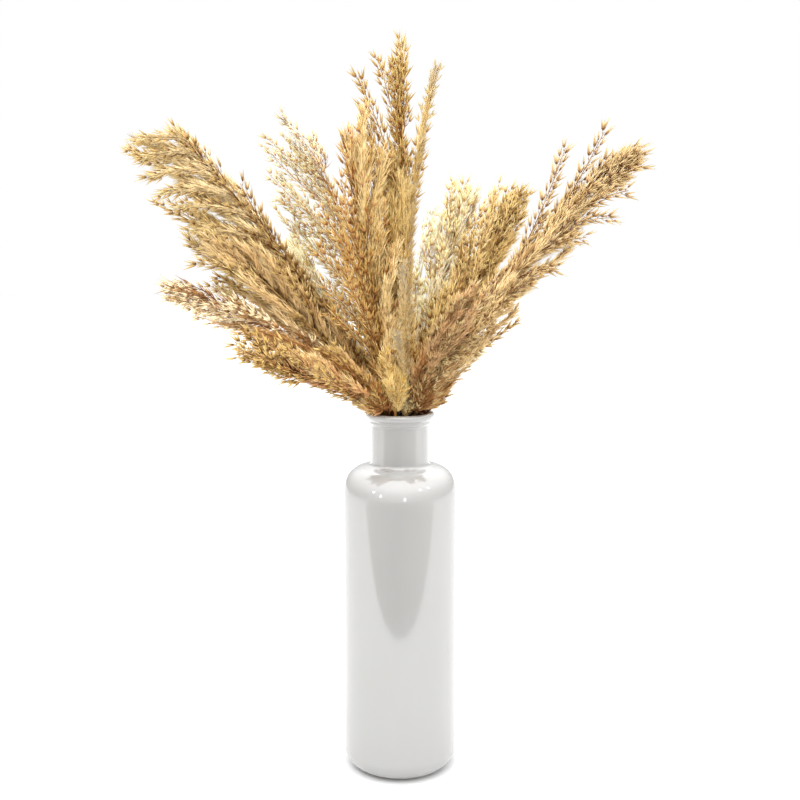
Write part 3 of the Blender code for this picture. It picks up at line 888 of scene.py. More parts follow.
@dataclass
class Plume:
    """One dried grass plume: its stem, sprays, spikelets and hairs.

    A value is drawn between the two numbers of its range. A texture place or tint runs from 0 to 1.
    """

    plan: Plan
    number: int
    room: tuple[Array, Array]
    draw: np.random.Generator = field(init=False)
    line: StemLine = field(init=False)
    head: float = field(init=False)
    crown_foot: float = field(init=False)
    sprays: Sprays = field(init=False)

    # Where sprays leave the stem, and which are left out
    head_start: float = 0.003
    fluffy_spacing: float = 0.0045
    bare_spacing: float = 0.0070
    fewest_fluffy: int = 6
    fewest_bare: int = 3
    golden_angle: float = 137.5
    turn_wobble: float = 20
    least_sweep: float = 0.09
    off_side_from: float = 0.35
    off_side_bare: float = 0.85
    off_side_fluffy: float = 0.05
    top_kept: float = 0.70
    bare_growth: float = 0.8

    # How sprays stand, how long they are and how light
    top_closing: float = 0.12
    bare_angle: Pair = (0.7, 1.25)
    fluffy_angle: Pair = (0.5, 1.2)
    sweep_turn: float = 0.6
    sweep_growth: float = 2.2
    shortest_side: float = 0.45
    straightening: float = 0.52
    bend_wobble: float = 0.03
    tipped_length: Pair = (0.78, 1.05)
    fluffy_length: Pair = (0.50, 0.84)
    top_length: float = 0.85
    tint_middle: float = 0.61
    tint_spread: float = 0.22
    tint_limits: Pair = (0.04, 0.95)
    tint_wobble: float = 0.12
    bare_darker: float = 0.10
    off_side_darker: float = 0.45
    bare_fluff: float = 0.12
    bare_husks: float = 0.18

    # The crown, which carries the head on to the tip
    crown_length: float = 0.034
    crown_share: float = 0.78
    crown_tint: float = 0.6
    crown_fluff: float = 0.5
    crown_husks: float = 0.1

    # The ladders, and how far every spray may reach
    ladder_aim: float = 0.6
    ladder_view: Point = (0.0, -1.0, 0.25)
    ladder_husks: float = 0.12
    dark_tint: float = 0.04
    husk_reach: float = 0.013
    least_reach: float = 0.001
    shortest_kept: float = 0.3

    # The dark tuft at the foot of the head, lighter where the foot is pale; its dark is partly brown stem
    # bases and partly painted shade in the vase's mouth
    tuft_sprays: int = 22
    tuft_place: Pair = (0.005, 0.022)
    tuft_angle: Pair = (15, 70)
    tuft_outward: float = 0.8
    tuft_bend: float = 0.5
    tuft_length: Pair = (0.014, 0.030)
    tuft_tint: float = 0.75
    tuft_fluff: float = 1.3
    tuft_husks: float = 0.45
    tuft_paler: float = 0.4
    pale_foot: float = 0.2

    # The stem and the branches' cores
    stem_rings: int = 17
    stem_rise: float = 0.5
    stem_band: Pair = (0.15, 0.40)
    stem_tint: float = 0.35
    stem_wobble: float = 0.1
    core_rings: int = 4
    core_taper: float = 0.55
    core_width: float = 0.00062
    core_rise: Pair = (0.0, 0.30)

    # The twigs and the spikelets on them
    husk_spacing: float = 0.0037
    first_husk: float = 0.3
    flip_wobble: float = 0.45
    twig_angle: Pair = (26, 44)
    twig_length: Pair = (0.0026, 0.0052)
    twig_foot: float = 1.25
    twig_shortening: float = 0.5
    twig_overlap: float = 1.3
    twig_width: float = 0.00048
    twig_belly: float = 0.30
    twig_climb: float = 0.25
    twig_rise: float = 0.2
    husk_lean: Pair = (0.3, 1.2)
    husk_sizes: Pair = (0.8, 1.12)
    husk_rise: Pair = (0.0, 0.92)

    # The hairs
    hair_spacing: float = 0.00030
    hair_start: float = 0.01
    hair_angle: Pair = (6, 46)
    hair_limit: float = 0.6
    hair_length: Pair = (0.6, 1.2)
    hair_onward: float = 0.35
    hair_inward: float = 0.12
    hair_wobble: float = 0.0009
    hair_width: Pair = (0.00014, 0.00024)
    hair_belly: float = 0.42
    hair_climb: float = 0.6
    # Hairs low on a spray take the dark root colour: partly their brown bases, partly painted shade near
    # the stem
    hair_rise: Pair = (0.10, 0.38)
    root_share: float = 0.65

    def __post_init__(self) -> None:
        """Lays out the stem and seeds the draw."""
        self.draw = np.random.default_rng(SEED + self.number)
        self.line = StemLine(self.plan)
        self.head = self.line.length()
        self.crown_foot = 1 - self.crown_length / self.head
        self.sprays = self.lay_out()

    def lay_out(self) -> Sprays:
        """Lays out the side branches.

        Returns:
            The sprays that are drawn, the crown, the ladders and the tuft.
        """
        plan = self.plan
        parts = [self.drawn_sprays(), self.crown()]
        parts += [self.ladder(ladder, plan.ladder_tint, plan.ladder_fluff) for ladder in plan.ladders]
        parts += [self.ladder(ladder, self.dark_tint, 0.0) for ladder in plan.dark_ladders]
        sprays = Sprays.joined(parts + [self.tuft()])
        self.keep_in_room(sprays)
        return sprays

    def draw_roots(self) -> tuple[Array, ...]:
        """Draws where sprays leave the stem, and leaves some out.

        Returns:
            Each one's share of the way up, whether it is bare, its root, the stem's direction there, its
            side of the stem, and whether that side is the one away from the sweep.
        """
        plan, draw = self.plan, self.draw
        start = self.head_start / self.head
        span = (self.crown_foot - start) * self.head
        fluffy = max(self.fewest_fluffy, round(span / self.fluffy_spacing * plan.sprays))
        longer = max(self.fewest_bare, round(span / self.bare_spacing * plan.openness))
        share = np.concatenate([(np.arange(n) + draw.uniform(0, 1, n)) / n for n in (fluffy, longer)])
        count = len(share)
        bare = (np.arange(count) >= fluffy) | (share > plan.fluff_top)
        t = start + (self.crown_foot - start) * share
        root, tangent = self.line.at(t), self.line.way(t)
        turn = draw.uniform(0, 360) + self.golden_angle * np.arange(count)
        turn += draw.uniform(-self.turn_wobble, self.turn_wobble, count)
        side = self.around(tangent, np.radians(turn))
        sweep = np.array(plan.sweep)
        strength = np.linalg.norm(sweep)
        off_side = (side @ sweep < -self.off_side_from * strength) & (strength > self.least_sweep)
        kept_off_side = np.where(bare, self.off_side_bare, self.off_side_fluffy)
        keep = ~off_side | (draw.uniform(0, 1, count) < kept_off_side)
        keep &= (share < plan.fluff_top) | (draw.uniform(0, 1, count) < self.top_kept)
        keep &= ~bare | off_side | (draw.uniform(0, 1, count) < plan.bare_share + self.bare_growth * share)
        return tuple(each[keep] for each in (share, bare | off_side, root, tangent, side, off_side))

    def drawn_sprays(self) -> Sprays:
        """Draws the short fluffy sprays and the longer bare ones.

        Returns:
            The sprays.
        """
        plan, draw = self.plan, self.draw
        share, bare, root, tangent, side, off_side = self.draw_roots()
        count = len(share)
        sweep = np.array(plan.sweep)
        wide = plan.spread * (1 - self.top_closing * share)
        open_ones, closed = draw.uniform(*self.bare_angle, count), draw.uniform(*self.fluffy_angle, count)
        heading = lean(tangent, side, wide * np.where(bare, open_ones, closed))
        across = sweep - tangent * (tangent @ sweep)[:, None]
        heading = unit(heading + across * self.sweep_turn)
        bend = sweep + (tangent - heading) * self.straightening
        bend += draw.normal(0, self.bend_wobble, (count, 3))
        tipped = draw.uniform(0, 1, count) < plan.tipped_share
        length = plan.reach * (1 - plan.top_shortening * share**2)
        long, short = draw.uniform(*self.tipped_length, count), draw.uniform(*self.fluffy_length, count)
        length *= np.where(bare | tipped, long, short)
        length *= np.where(share > plan.fluff_top, self.top_length, 1.0)
        length *= np.minimum(1.0, plan.foot_width + (1 - plan.foot_width) * share / plan.foot_share)
        length *= np.maximum(self.shortest_side, 1 + self.sweep_growth * (side @ sweep))
        # The head's lower share is darkened by foot_shade: partly its browner real tone, partly painted
        # shade near the mouth
        low = np.clip(1 - share / plan.foot_share, 0, 1)
        tint = draw.normal(self.tint_middle, self.tint_spread, count) - self.bare_darker * bare
        tint -= self.off_side_darker * off_side + plan.foot_shade * low
        return Sprays(
            root=root,
            heading=heading,
            bend=bend,
            length=length,
            tint=np.clip(tint, *self.tint_limits),
            plane=self.any_side(heading),
            fluff=np.where(bare, self.bare_fluff, 1.0),
            husk_start=np.where(bare, self.bare_husks, np.where(tipped, plan.husk_start, 1.0)),
        )

    def crown(self) -> Sprays:
        """Makes the spray on top of the stem, towards the tip.

        Returns:
            The spray.
        """
        root = self.line.at(self.crown_foot)
        reach = (np.array(self.plan.tip) - root) * self.crown_share
        long = float(np.linalg.norm(reach))
        return Sprays.one(
            root=root, heading=reach / long, bend=np.zeros(3), length=long, tint=self.crown_tint,
            plane=[1.0, 0.0, 0.0], fluff=self.crown_fluff, husk_start=self.crown_husks,
        )

    def ladder(self, ladder: Ladder, tint: float, fluff: float) -> Sprays:
        """Makes one long spray that ends at a given point.

        Args:
            ladder: Where it leaves the stem, and the point's x, y and z.
            tint: How light it is, from 0 to 1.
            fluff: How much fluff it has.

        Returns:
            The spray.
        """
        t, *tip = ladder
        root = self.line.at(t)
        straight = np.array(tip) - root
        long = float(np.linalg.norm(straight))
        leave = unit(self.ladder_aim * straight / long + (1 - self.ladder_aim) * self.line.way(t))
        return Sprays.one(
            root=root, heading=leave, bend=straight / long - leave, length=long, tint=tint,
            plane=unit(np.cross(straight, self.ladder_view)), fluff=fluff, husk_start=self.ladder_husks,
        )

    def tuft(self) -> Sprays:
        """Draws the short sprays that crowd round the foot of the head.

        Returns:
            The sprays.
        """
        plan, draw, count = self.plan, self.draw, self.tuft_sprays
        t = draw.uniform(*self.tuft_place, count) / self.head
        way = self.line.way(t)
        side = self.any_side(way)
        angle = draw.uniform(*self.tuft_angle, count)
        outward = unit(self.line.at(t) * np.array([1.0, 1.0, 0.0]))
        heading = lean(way, side + outward * self.tuft_outward, angle)
        length = draw.uniform(*self.tuft_length, count) * plan.foot_width / FOOT_WIDTH
        paler = self.tuft_paler * (plan.foot_shade < self.pale_foot)
        # Mostly low tints: partly brown bases, partly painted shade in the vase's mouth
        tint = self.tuft_tint * draw.uniform(0, 1, count) ** 3 + paler
        return Sprays(
            root=self.line.at(t), heading=heading, bend=(way - heading) * self.tuft_bend, length=length,
            tint=tint, plane=side, fluff=np.full(count, self.tuft_fluff),
            husk_start=np.full(count, self.tuft_husks),
        )

    def keep_in_room(self, sprays: Sprays) -> None:
        """Shortens the sprays that would reach out of the arrangement's room.

        Args:
            sprays: The sprays.
        """
        every = np.arange(len(sprays.length))
        reach = sprays.at(every, np.ones(len(every))) - sprays.root
        end = sprays.root + reach + unit(reach) * self.husk_reach
        low, high = self.room
        over = np.maximum(end - high, 0) + np.maximum(low - end, 0)
        share = 1 - (over / np.maximum(np.abs(reach), self.least_reach)).max(axis=1)
        sprays.length = sprays.length * np.clip(share, self.shortest_kept, 1.0)

    @staticmethod
    def around(way: Array, turn: Array) -> Array:
        """Works out unit vectors square to some directions, turned round them.

        Args:
            way: Unit directions.
            turn: Angles in radians.

        Returns:
            The sideways directions.
        """
        # A direction that stems and sprays seldom take.
        seldom = np.array([0.12, 0.93, 0.35])
        first = unit(np.cross(way, seldom))
        second = np.cross(way, first)
        return first * np.cos(turn)[:, None] + second * np.sin(turn)[:, None]

    def any_side(self, way: Array) -> Array:
        """Draws a direction square to each of the ways."""
        return self.around(way, self.draw.uniform(0, math.tau, len(way)))

    def tints(self, which: Array) -> Array:
        """Draws a tint near its spray's own for each small part."""
        return np.clip(self.sprays.tint[which] + self.draw.normal(0, self.tint_wobble, len(which)), 0, 1)

    def add_stem(self, bundle: Bundle) -> None:
        """Adds the stem, from the vase's floor to the crown.

        Args:
            bundle: The mesh that it joins.
        """
        t = np.linspace(0, self.crown_foot, self.stem_rings)
        points = np.vstack([self.line.foot, self.line.at(t)])
        taper = 1 - (1 - TIP_RADIUS / STEM_RADIUS) * np.linspace(0, 1, self.stem_rings)
        radii = STEM_RADIUS * np.concatenate([[1.0], taper])
        ways = [Vector(way) for way in np.diff(points, axis=0)]
        work = bmesh.new()
        start = Matrix.Translation(points[0]) @ ways[0].to_track_quat("Z", "Y").to_matrix().to_4x4()
        made = bmesh.ops.create_circle(work, cap_ends=True, segments=6, radius=radii[0], matrix=start)
        top = made["verts"][0].link_faces[0]
        bmesh.ops.reverse_faces(work, faces=[top])
        for k, way in enumerate(ways):
            made = bmesh.ops.extrude_face_region(work, geom=[top])["geom"]
            if k > 0:
                bmesh.ops.delete(work, geom=[top], context="FACES_ONLY")
            top = next(item for item in made if isinstance(item, bmesh.types.BMFace))
            turn = ways[max(k - 1, 0)].rotation_difference(way).to_matrix().to_4x4()
            scale = Matrix.Scale(radii[k + 1] / radii[k], 4)
            centre = Matrix.Translation(-Vector(points[k]))
            bmesh.ops.transform(work, matrix=turn @ scale, space=centre, verts=top.verts[:])
            bmesh.ops.translate(work, vec=way, verts=top.verts[:])
        shape = Shape.of(work)
        nearest = np.argmin(np.linalg.norm(shape.points[:, None] - points[None], axis=2), axis=1)
        tint = np.clip(self.stem_tint + self.stem_wobble * self.draw.normal(0, 1, len(nearest)), 0, 1)
        low, high = self.stem_band
        bundle.add(
            shape.points, shape.triangles, nearest / len(points) * self.stem_rise, low + (high - low) * tint
        )

    def add_spray_cores(self, bundle: Bundle) -> None:
        """Adds the thin branch of every spray.

        Args:
            bundle: The mesh that they join.
        """
        sprays = self.sprays
        bundle.strew(
            rod(self.core_rings, self.core_taper), sprays.root, sprays.heading, sprays.plane,
            width=self.core_width, length=sprays.length, bend=sprays.bend * sprays.length[:, None],
            rise=self.core_rise,
            tint=sprays.tint, band=BRANCH_BAND,
        )

    def add_spikelets(self, bundle: Bundle) -> None:
        """Adds the twigs and spikelets along the outer part of every spray.

        Args:
            bundle: The mesh that they join.
        """
        sprays, draw, plan = self.sprays, self.draw, self.plan
        numbers = np.round(sprays.length * (1 - sprays.husk_start) / self.husk_spacing).astype(int)
        which = np.repeat(np.arange(len(numbers)), numbers)
        order = np.concatenate([np.arange(n) for n in numbers])
        start = sprays.husk_start[which]
        s = start + (1 - start) * (order + self.first_husk) / numbers[which]
        root, way = sprays.at(which, s), sprays.way(which, s)
        flip = np.where(order % 2 == 0, 0.0, np.pi) + draw.normal(0, self.flip_wobble, len(s))
        plane = sprays.plane[which]
        first = unit(plane - way * np.sum(plane * way, axis=1)[:, None])
        side = first * np.cos(flip)[:, None] + np.cross(way, first) * np.sin(flip)[:, None]
        twig_way = lean(way, side, draw.uniform(*self.twig_angle, len(s)))
        twig_length = draw.uniform(*self.twig_length, len(s)) * (self.twig_foot - self.twig_shortening * s)
        end = root + twig_way * twig_length[:, None]
        keep = clear_of_vase(root) & clear_of_vase(end)
        which, s, root, end, way, side, twig_way, twig_length = (
            each[keep] for each in (which, s, root, end, way, side, twig_way, twig_length)
        )
        tint = self.tints(which)
        climb = s * self.twig_climb
        bundle.strew(
            blade(self.twig_belly), root, twig_way, side, width=self.twig_width,
            length=twig_length * self.twig_overlap, rise=(climb, climb + self.twig_rise), tint=tint,
            band=BRANCH_BAND,
        )
        husk_way = unit(twig_way + way * draw.uniform(*self.husk_lean, len(s))[:, None])
        size = plan.husk_size * draw.uniform(*self.husk_sizes, len(s))
        facing = unit(np.cross(husk_way, self.any_side(husk_way)))
        bundle.strew(
            Spikelet().shape(), end, husk_way, facing, width=size, length=size, rise=self.husk_rise,
            tint=tint, band=HUSK_BAND,
        )

    def add_hairs(self, bundle: Bundle) -> None:
        """Adds the fine hairs along every spray.

        Args:
            bundle: The mesh that they join.
        """
        sprays, draw, plan = self.sprays, self.draw, self.plan
        numbers = np.round(sprays.length / self.hair_spacing * plan.fluff * sprays.fluff).astype(int)
        which = np.repeat(np.arange(len(numbers)), numbers)
        s = draw.uniform(self.hair_start, plan.fluff_end, len(which))
        way = sprays.way(which, s)
        side = self.any_side(way)
        hair_way = lean(way, side, draw.uniform(*self.hair_angle, len(s)))
        longest = np.minimum(plan.hair, sprays.length[which] * self.hair_limit)
        length = longest * draw.uniform(*self.hair_length, len(s))
        origin = sprays.at(which, s)
        keep = clear_of_vase(origin) & clear_of_vase(origin + hair_way * length[:, None])
        which, s, way, side, hair_way, length, origin = (
            each[keep] for each in (which, s, way, side, hair_way, length, origin)
        )
        bend = (way * self.hair_onward - side * self.hair_inward) * length[:, None]
        bend += draw.normal(0, self.hair_wobble, (len(s), 3))
        tint = self.tints(which)
        width = draw.uniform(*self.hair_width, len(s))
        # Hairs lower on a spray take more of the dark root colour: partly real brown, partly painted shade
        # near the stem
        low, high = (rise + self.hair_climb * s for rise in self.hair_rise)
        bundle.strew(
            blade(self.hair_belly), origin, hair_way, side, width=width, length=length, bend=bend,
            rise=(low, high), tint=tint, band=HAIR_BAND,
        )

    def build(self) -> list[bpy.types.Object]:
        """Builds the plume's pieces.

        Returns:
            The grass and the hairs, riding on the root body.
        """
        plan = self.plan
        grass, hairs = Bundle(), Bundle()
        self.add_stem(grass)
        self.add_spray_cores(grass)
        self.add_spikelets(grass)
        self.add_hairs(hairs)
        root, body, tip, husk, husk_tip = (tone(screen) for screen in astuple(plan.palette))
        inner = tuple(self.root_share * a + (1 - self.root_share) * b for a, b in zip(root, body))
        husk_finish = FibreFinish(plan.name + "_husk", root, husk, husk_tip, HUSK_SHADE)
        hair_finish = FibreFinish(plan.name + "_fluff", inner, body, tip, HAIR_SHADE)
        pieces = [
            grass.piece(plan.name + "_spikelets", husk_finish.material()),
            hairs.piece(plan.name + "_hairs", hair_finish.material()),
        ]
        for piece in pieces:
            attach(piece, "root")
            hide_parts(plan.name)
        return pieces


@dataclass(frozen=True)
class GlazeFinish:
    """White gloss glaze over a pale body, bare at the foot."""

    name: str = "white_glaze"
    glaze: Colour = (0.352, 0.349, 0.341)
    pooled: Colour = (0.336, 0.332, 0.321)
    biscuit: Colour = (0.62, 0.57, 0.48)
    foot_height: float = 0.0012
    foot_share: float = 0.6
    glaze_roughness: Pair = (0.10, 0.16)
    biscuit_roughness: float = 0.85
    ior: float = 1.55
    coat_ior: float = 1.62
    coat_roughness: float = 0.07
    cloud_scale: float = 22.0
    cloud_detail: float = 2.0
    wave_scale: float = 60.0
    wave_detail: float = 1.0
    wave_strength: float = 0.25
    wave_depth: float = 0.00012

    def material(self) -> bpy.types.Material:
        """Builds the material.

        Returns:
            The glaze.
        """
        values = {"IOR": self.ior, "Coat Roughness": self.coat_roughness, "Coat IOR": self.coat_ior}
        material, bench = new_material(self.name, values)
        where = bench.add("TexCoord").outputs["Object"]
        cloud = bench.noise(where, self.cloud_scale, self.cloud_detail)
        bare = bench.span(bench.part(where)["Z"], self.foot_height, self.foot_height * self.foot_share)
        glaze = bench.blend(cloud, self.glaze, self.pooled)
        rough = bench.span(cloud, to=self.glaze_roughness)
        waves = bench.noise(where, self.wave_scale, self.wave_detail)
        bench.dress({
            "Base Color": bench.blend(bare, glaze, self.biscuit),
            "Roughness": bench.span(bare, to=(rough, self.biscuit_roughness)),
            "Coat Weight": bench.span(bare, to=(1.0, 0.0)),
            "Normal": bench.ridges(waves, self.wave_strength, self.wave_depth),
        })
        return material


@dataclass
class Vase:
    """The bottle vase, turned from its section.

    The collar's curve is how far each point stands out of the neck and lies below the lip.
    """

    body_radius: float = 0.0473
    shoulder_foot: float = 0.2388
    shoulder_rise: float = 0.0164
    shoulder_ease: float = 0.0128
    shoulder_power: float = 2.6
    shoulder_turn: float = 82
    shoulder_steps: int = 28
    neck_fillet: float = 0.0012
    neck_curve: Pair = (0.003, 0.0036)
    neck_curve_lift: float = 0.0040
    neck_curve_end: float = 262
    neck_foot_lift: float = 0.0052
    neck_top_depth: float = 0.0116
    base_round: float = 0.016
    collar_radius: float = 0.0281
    lip_round: float = 0.0024
    collar_curve: tuple[Pair, ...] = (
        (0.0040, 0.0044), (0.0034, 0.0052), (0.0028, 0.0058), (0.0022, 0.0063), (0.0019, 0.0067),
        (0.0019, 0.0072), (0.0020, 0.0079), (0.0018, 0.0087), (0.0012, 0.0093), (0.0004, 0.0097),
        (0.0, 0.0102),
    )
    foot_rim: float = 0.004
    foot_recess: float = 0.0008
    steps: int = 128
    merge_distance: float = 0.00001

    @staticmethod
    def arc(centre: Pair, radii: Pair, start: float, end: float, steps: int) -> list[Pair]:
        """Returns points (x, z) on an elliptical arc, both ends included."""
        angles = [math.radians(start + (end - start) * k / steps) for k in range(steps + 1)]
        return [(centre[0] + radii[0] * math.cos(a), centre[1] + radii[1] * math.sin(a)) for a in angles]

    def shoulder_curve(self, top: float) -> list[Pair]:
        """Works out the soft shoulder, from below the neck to the straight wall.

        Args:
            top: The shoulder's highest place.

        Returns:
            Its points (x, z).
        """
        foot = self.shoulder_foot - self.shoulder_ease
        start = NECK_RADIUS + self.neck_fillet
        wide, high = self.body_radius - start, top - foot
        power = 2 / self.shoulder_power
        points = []
        for k in range(self.shoulder_steps + 1):
            angle = math.radians(self.shoulder_turn * (1 - k / self.shoulder_steps))
            points.append((start + wide * math.cos(angle) ** power, foot + high * math.sin(angle) ** power))
        return points

    def section(self) -> list[Pair]:
        """Works out the wall's section, from the inner floor over the lip to the base.

        Returns:
            Its points (x, z).
        """
        bore, inner = NECK_RADIUS - WALL, self.body_radius - WALL
        rounding, inner_round, lip = self.base_round, self.base_round - WALL / 2, self.lip_round
        shoulder_top = self.shoulder_foot + self.shoulder_rise
        edge = self.collar_radius - lip
        mouth = VASE_HEIGHT - LIP_DEPTH
        curve_out, curve_up = self.neck_curve
        points = [(0.0, FLOOR)]
        centre = (inner - inner_round, FLOOR + inner_round)
        points += self.arc(centre, (inner_round, inner_round), -90, 0, 8)
        points += self.arc((bore, self.shoulder_foot - WALL), (inner - bore, self.shoulder_rise), 0, 90, 10)
        points += [(bore, mouth)]
        points += self.arc((edge, mouth), (edge - bore, LIP_DEPTH), 180, 90, 8)[1:-1]
        points += self.arc((edge, VASE_HEIGHT - lip), (lip, lip), 90, -30, 10)
        points += [(NECK_RADIUS + out, VASE_HEIGHT - down) for out, down in self.collar_curve]
        points += [(NECK_RADIUS, VASE_HEIGHT - self.neck_top_depth)]
        points += [(NECK_RADIUS, shoulder_top + self.neck_foot_lift)]
        centre = (NECK_RADIUS + curve_out, shoulder_top + self.neck_curve_lift)
        points += self.arc(centre, (curve_out, curve_up), 180, self.neck_curve_end, 6)
        points += self.shoulder_curve(shoulder_top)
        points += self.arc((self.body_radius - rounding, rounding), (rounding, rounding), 0, -90, 14)
        rim = self.body_radius - rounding - self.foot_rim
        points += [(rim, 0.0), (rim - self.foot_recess, self.foot_recess), (0.0, self.foot_recess)]
        return points

    def build(self) -> bpy.types.Object:
        """Builds the vase.

        Returns:
            The vase, riding on the root body.
        """
        work = bmesh.new()
        verts = [work.verts.new((x, 0.0, z)) for x, z in self.section()]
        edges = [work.edges.new(pair) for pair in zip(verts, verts[1:])]
        bmesh.ops.spin(
            work, geom=verts + edges, cent=(0, 0, 0), axis=(0, 0, 1), angle=math.tau, steps=self.steps,
            use_merge=True,
        )
        bmesh.ops.remove_doubles(work, verts=work.verts, dist=self.merge_distance)
        bmesh.ops.recalc_face_normals(work, faces=work.faces)
        vase = put_bmesh("vase_glazed", work, GlazeFinish().material())
        vase.data.shade_smooth()
        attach(vase, "root")
        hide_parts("vase")
        return vase


@dataclass(frozen=True)
class SoftBox:
    """One area light that looks at a point and isn't mirrored in the glaze."""

    name: str
    place: Point
    aim: Point
    size: Pair
    power: float

    def build(self) -> None:
        """Builds the light."""
        data = bpy.data.lights.new(self.name, "AREA")
        data.shape = "RECTANGLE"
        data.size, data.size_y = self.size
        data.energy = self.power
        light = put(self.name, data)
        light.visible_glossy = False
        light.location = self.place
        light.rotation_euler = (Vector(self.aim) - Vector(self.place)).to_track_quat("-Z", "Y").to_euler()


def glow_panel(name: str, work: BMesh, colour: Colour, glow: float) -> Bench:
    """Makes a glowing panel that only shiny surfaces see.

    Args:
        name: The panel's name.
        work: Its shape, which is freed.
        colour: Its colour.
        glow: How bright it is.

    Returns:
        The bench of its material.
    """
    material, bench = new_material(name, {"Base Color": BLACK, "Specular IOR Level": 0.0})
    bench.dress({"Emission Color": colour, "Emission Strength": glow})
    panel = put_bmesh(name, work, material)
    for ray in ("camera", "diffuse", "shadow", "transmission", "volume_scatter"):
        setattr(panel, "visible_" + ray, False)
    panel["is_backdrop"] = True
    return bench


@dataclass(frozen=True)
class Card:
    """An upright card in front that only shiny surfaces see, dark along the middle and pale round it."""

    name: str = "dim_card"
    place: Point = (0.0, -0.360, 0.0)
    half_widths: Pair = (1.00, 0.66)
    height: float = 0.250
    colour: Colour = (1.0, 0.97, 0.90)
    core: float = 0.03
    aside: float = 0.05
    fade: float = 0.90
    edge_glow: float = 1.02

    def build(self) -> None:
        """Builds the card."""
        foot_width, top_width = self.half_widths
        work = bmesh.new()
        foot = [work.verts.new((side * foot_width, 0.0, 0.0)) for side in (-1, 1)]
        made = bmesh.ops.extrude_edge_only(work, edges=[work.edges.new(foot)])["geom"]
        top = [item for item in made if isinstance(item, bmesh.types.BMVert)]
        bmesh.ops.scale(work, vec=(top_width / foot_width, 1.0, 1.0), verts=top)
        bmesh.ops.translate(work, vec=(0.0, 0.0, self.height), verts=top)
        bmesh.ops.translate(work, vec=self.place, verts=work.verts)
        bench = glow_panel(self.name, work, self.colour, 0.0)
        parts = bench.part(bench.add("TexCoord").outputs["Object"])
        aside = bench.reckon("ABSOLUTE", bench.reckon("ADD", parts["X"], self.aside))
        half_width = bench.span(parts["Z"], high=self.height, to=self.half_widths)
        level = bench.span(bench.reckon("DIVIDE", aside, half_width), self.core, to=(0.0, self.edge_glow))
        fade = bench.span(parts["Z"], self.fade * self.height, self.height, (0.0, self.edge_glow))
        bench.dress({"Emission Strength": bench.reckon("MAXIMUM", level, fade)})


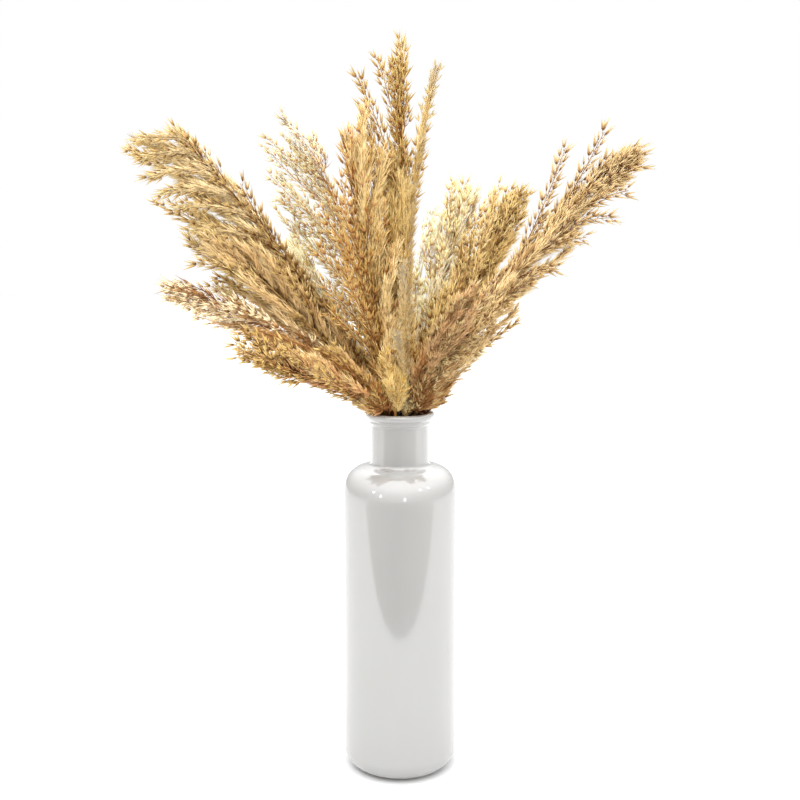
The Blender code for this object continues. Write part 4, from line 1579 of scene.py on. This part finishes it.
@dataclass
class Studio:
    """The pale floor, the soft light and the camera."""

    lens: float = 52.23
    sensor_width: float = 36.0
    nearest: float = 0.01
    camera_place: Point = (0.0, -0.928, 0.4532)
    camera_pitch_radians: float = 0.154
    floor_size: float = 6.0
    floor_colour: Colour = (0.66, 0.66, 0.66)
    floor_roughness: float = 0.9
    surround: Pair = (0.50, 2.6)
    mirrored: Pair = (0.75, 3.0)
    full_light_height: float = 0.8
    boxes: tuple[SoftBox, ...] = (
        SoftBox("light_left", (-1.5, -0.3, 0.9), (0, 0, 0.25), (0.9, 1.5), 2.0),
        SoftBox("light_right", (1.35, -0.5, 0.9), (0, 0, 0.25), (0.8, 1.5), 4.0),
        SoftBox("light_top", (-0.2, -0.4, 1.9), (0, 0, 0.3), (1.6, 1.6), 16.0),
        SoftBox("light_front", (-0.35, -1.5, 1.5), (0, 0, 0.35), (1.2, 0.8), 4.0),
    )
    sparkle_size: float = 0.08
    sparkle_squash: float = 0.45
    sparkle_glow: float = 12.0
    sparkle_aim: Point = (0.0, 0.0, 0.25)
    sparkle_places: tuple[Point, ...] = (
        (-1.04, -0.70, 0.71), (-0.81, -1.02, 0.55), (0.81, -0.79, 0.95), (1.03, -0.44, 0.96),
        (0.22, -1.32, 0.42),
    )

    def build(self) -> None:
        """Builds the floor, the world, the lights, the panels and the camera."""
        self.build_floor()
        self.build_world()
        for box in self.boxes:
            box.build()
        for number, place in enumerate(self.sparkle_places):
            self.build_sparkle(f"sparkle_{number}", place)
        Card().build()
        self.build_camera()

    def build_sparkle(self, name: str, place: Point) -> None:
        """Builds a small bright panel that only shiny surfaces see.

        Args:
            name: The panel's name.
            place: Where it hangs.
        """
        work = bmesh.new()
        aim = (Vector(self.sparkle_aim) - Vector(place)).to_track_quat("Z", "X").to_matrix().to_4x4()
        squash = Matrix.Diagonal((1.0, self.sparkle_squash, 1.0, 1.0))
        matrix = Matrix.Translation(place) @ aim @ squash
        bmesh.ops.create_grid(work, x_segments=1, y_segments=1, size=self.sparkle_size, matrix=matrix)
        glow_panel(name, work, WHITE, self.sparkle_glow)

    def build_floor(self) -> None:
        """Builds the plain pale floor."""
        work = bmesh.new()
        bmesh.ops.create_grid(work, x_segments=1, y_segments=1, size=self.floor_size)
        values = {"Base Color": self.floor_colour, "Roughness": self.floor_roughness}
        material, _ = new_material("pale_floor", values)
        floor = put_bmesh("floor", work, material)
        floor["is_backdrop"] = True

    def build_world(self) -> None:
        """Sets a white surround that lights softly, more from above, and shows plain white."""
        world = bpy.data.worlds.new("studio")
        world.use_nodes = True
        bench, nodes = Bench(world.node_tree), world.node_tree.nodes
        shown = nodes["Background"]
        bench.feed(shown, {"Color": WHITE, "Strength": 1.0})
        rays = bench.add("LightPath").outputs
        height = bench.part(bench.add("TexCoord").outputs["Generated"])["Z"]
        under = shown.outputs["Background"]
        for ray, levels in (("Is Diffuse Ray", self.surround), ("Is Glossy Ray", self.mirrored)):
            strength = bench.span(height, 0.0, self.full_light_height, levels, smooth=True)
            lit = bench.add("Background", {"Color": WHITE, "Strength": strength}).outputs["Background"]
            under = bench.add("MixShader", {"Fac": rays[ray], 1: under, 2: lit}).outputs["Shader"]
        bench.feed(nodes["World Output"], {"Surface": under})
        scene = bpy.context.scene
        scene.world = world
        scene.view_settings.view_transform = "Standard"
        scene.view_settings.look = "None"

    def build_camera(self) -> None:
        """Sets the camera at the photographed angle."""
        data = bpy.data.cameras.new("camera")
        data.lens = self.lens
        data.sensor_width = self.sensor_width
        data.clip_start = self.nearest
        camera = put("camera", data)
        camera.location = self.camera_place
        camera.rotation_euler = (math.pi / 2 - self.camera_pitch_radians, 0.0, 0.0)
        bpy.context.scene.camera = camera


def main() -> None:
    """Builds the vase, the plumes and the studio, and reports each piece."""
    logging.basicConfig(level=logging.INFO, format="%(message)s")
    solid_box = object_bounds()
    low, high = (np.array(corner) for corner in solid_box)
    spare = (high - low) * ROOM_SPARE
    pieces = [Vase().build()]
    for number, plan in enumerate(PLANS):
        pieces += Plume(plan, number, (low - spare, high + spare)).build()
    for piece in pieces:
        log.info("%s has %d faces", piece.name, len(piece.data.polygons))
    Studio().build()


if __name__ == "__main__":
    main()
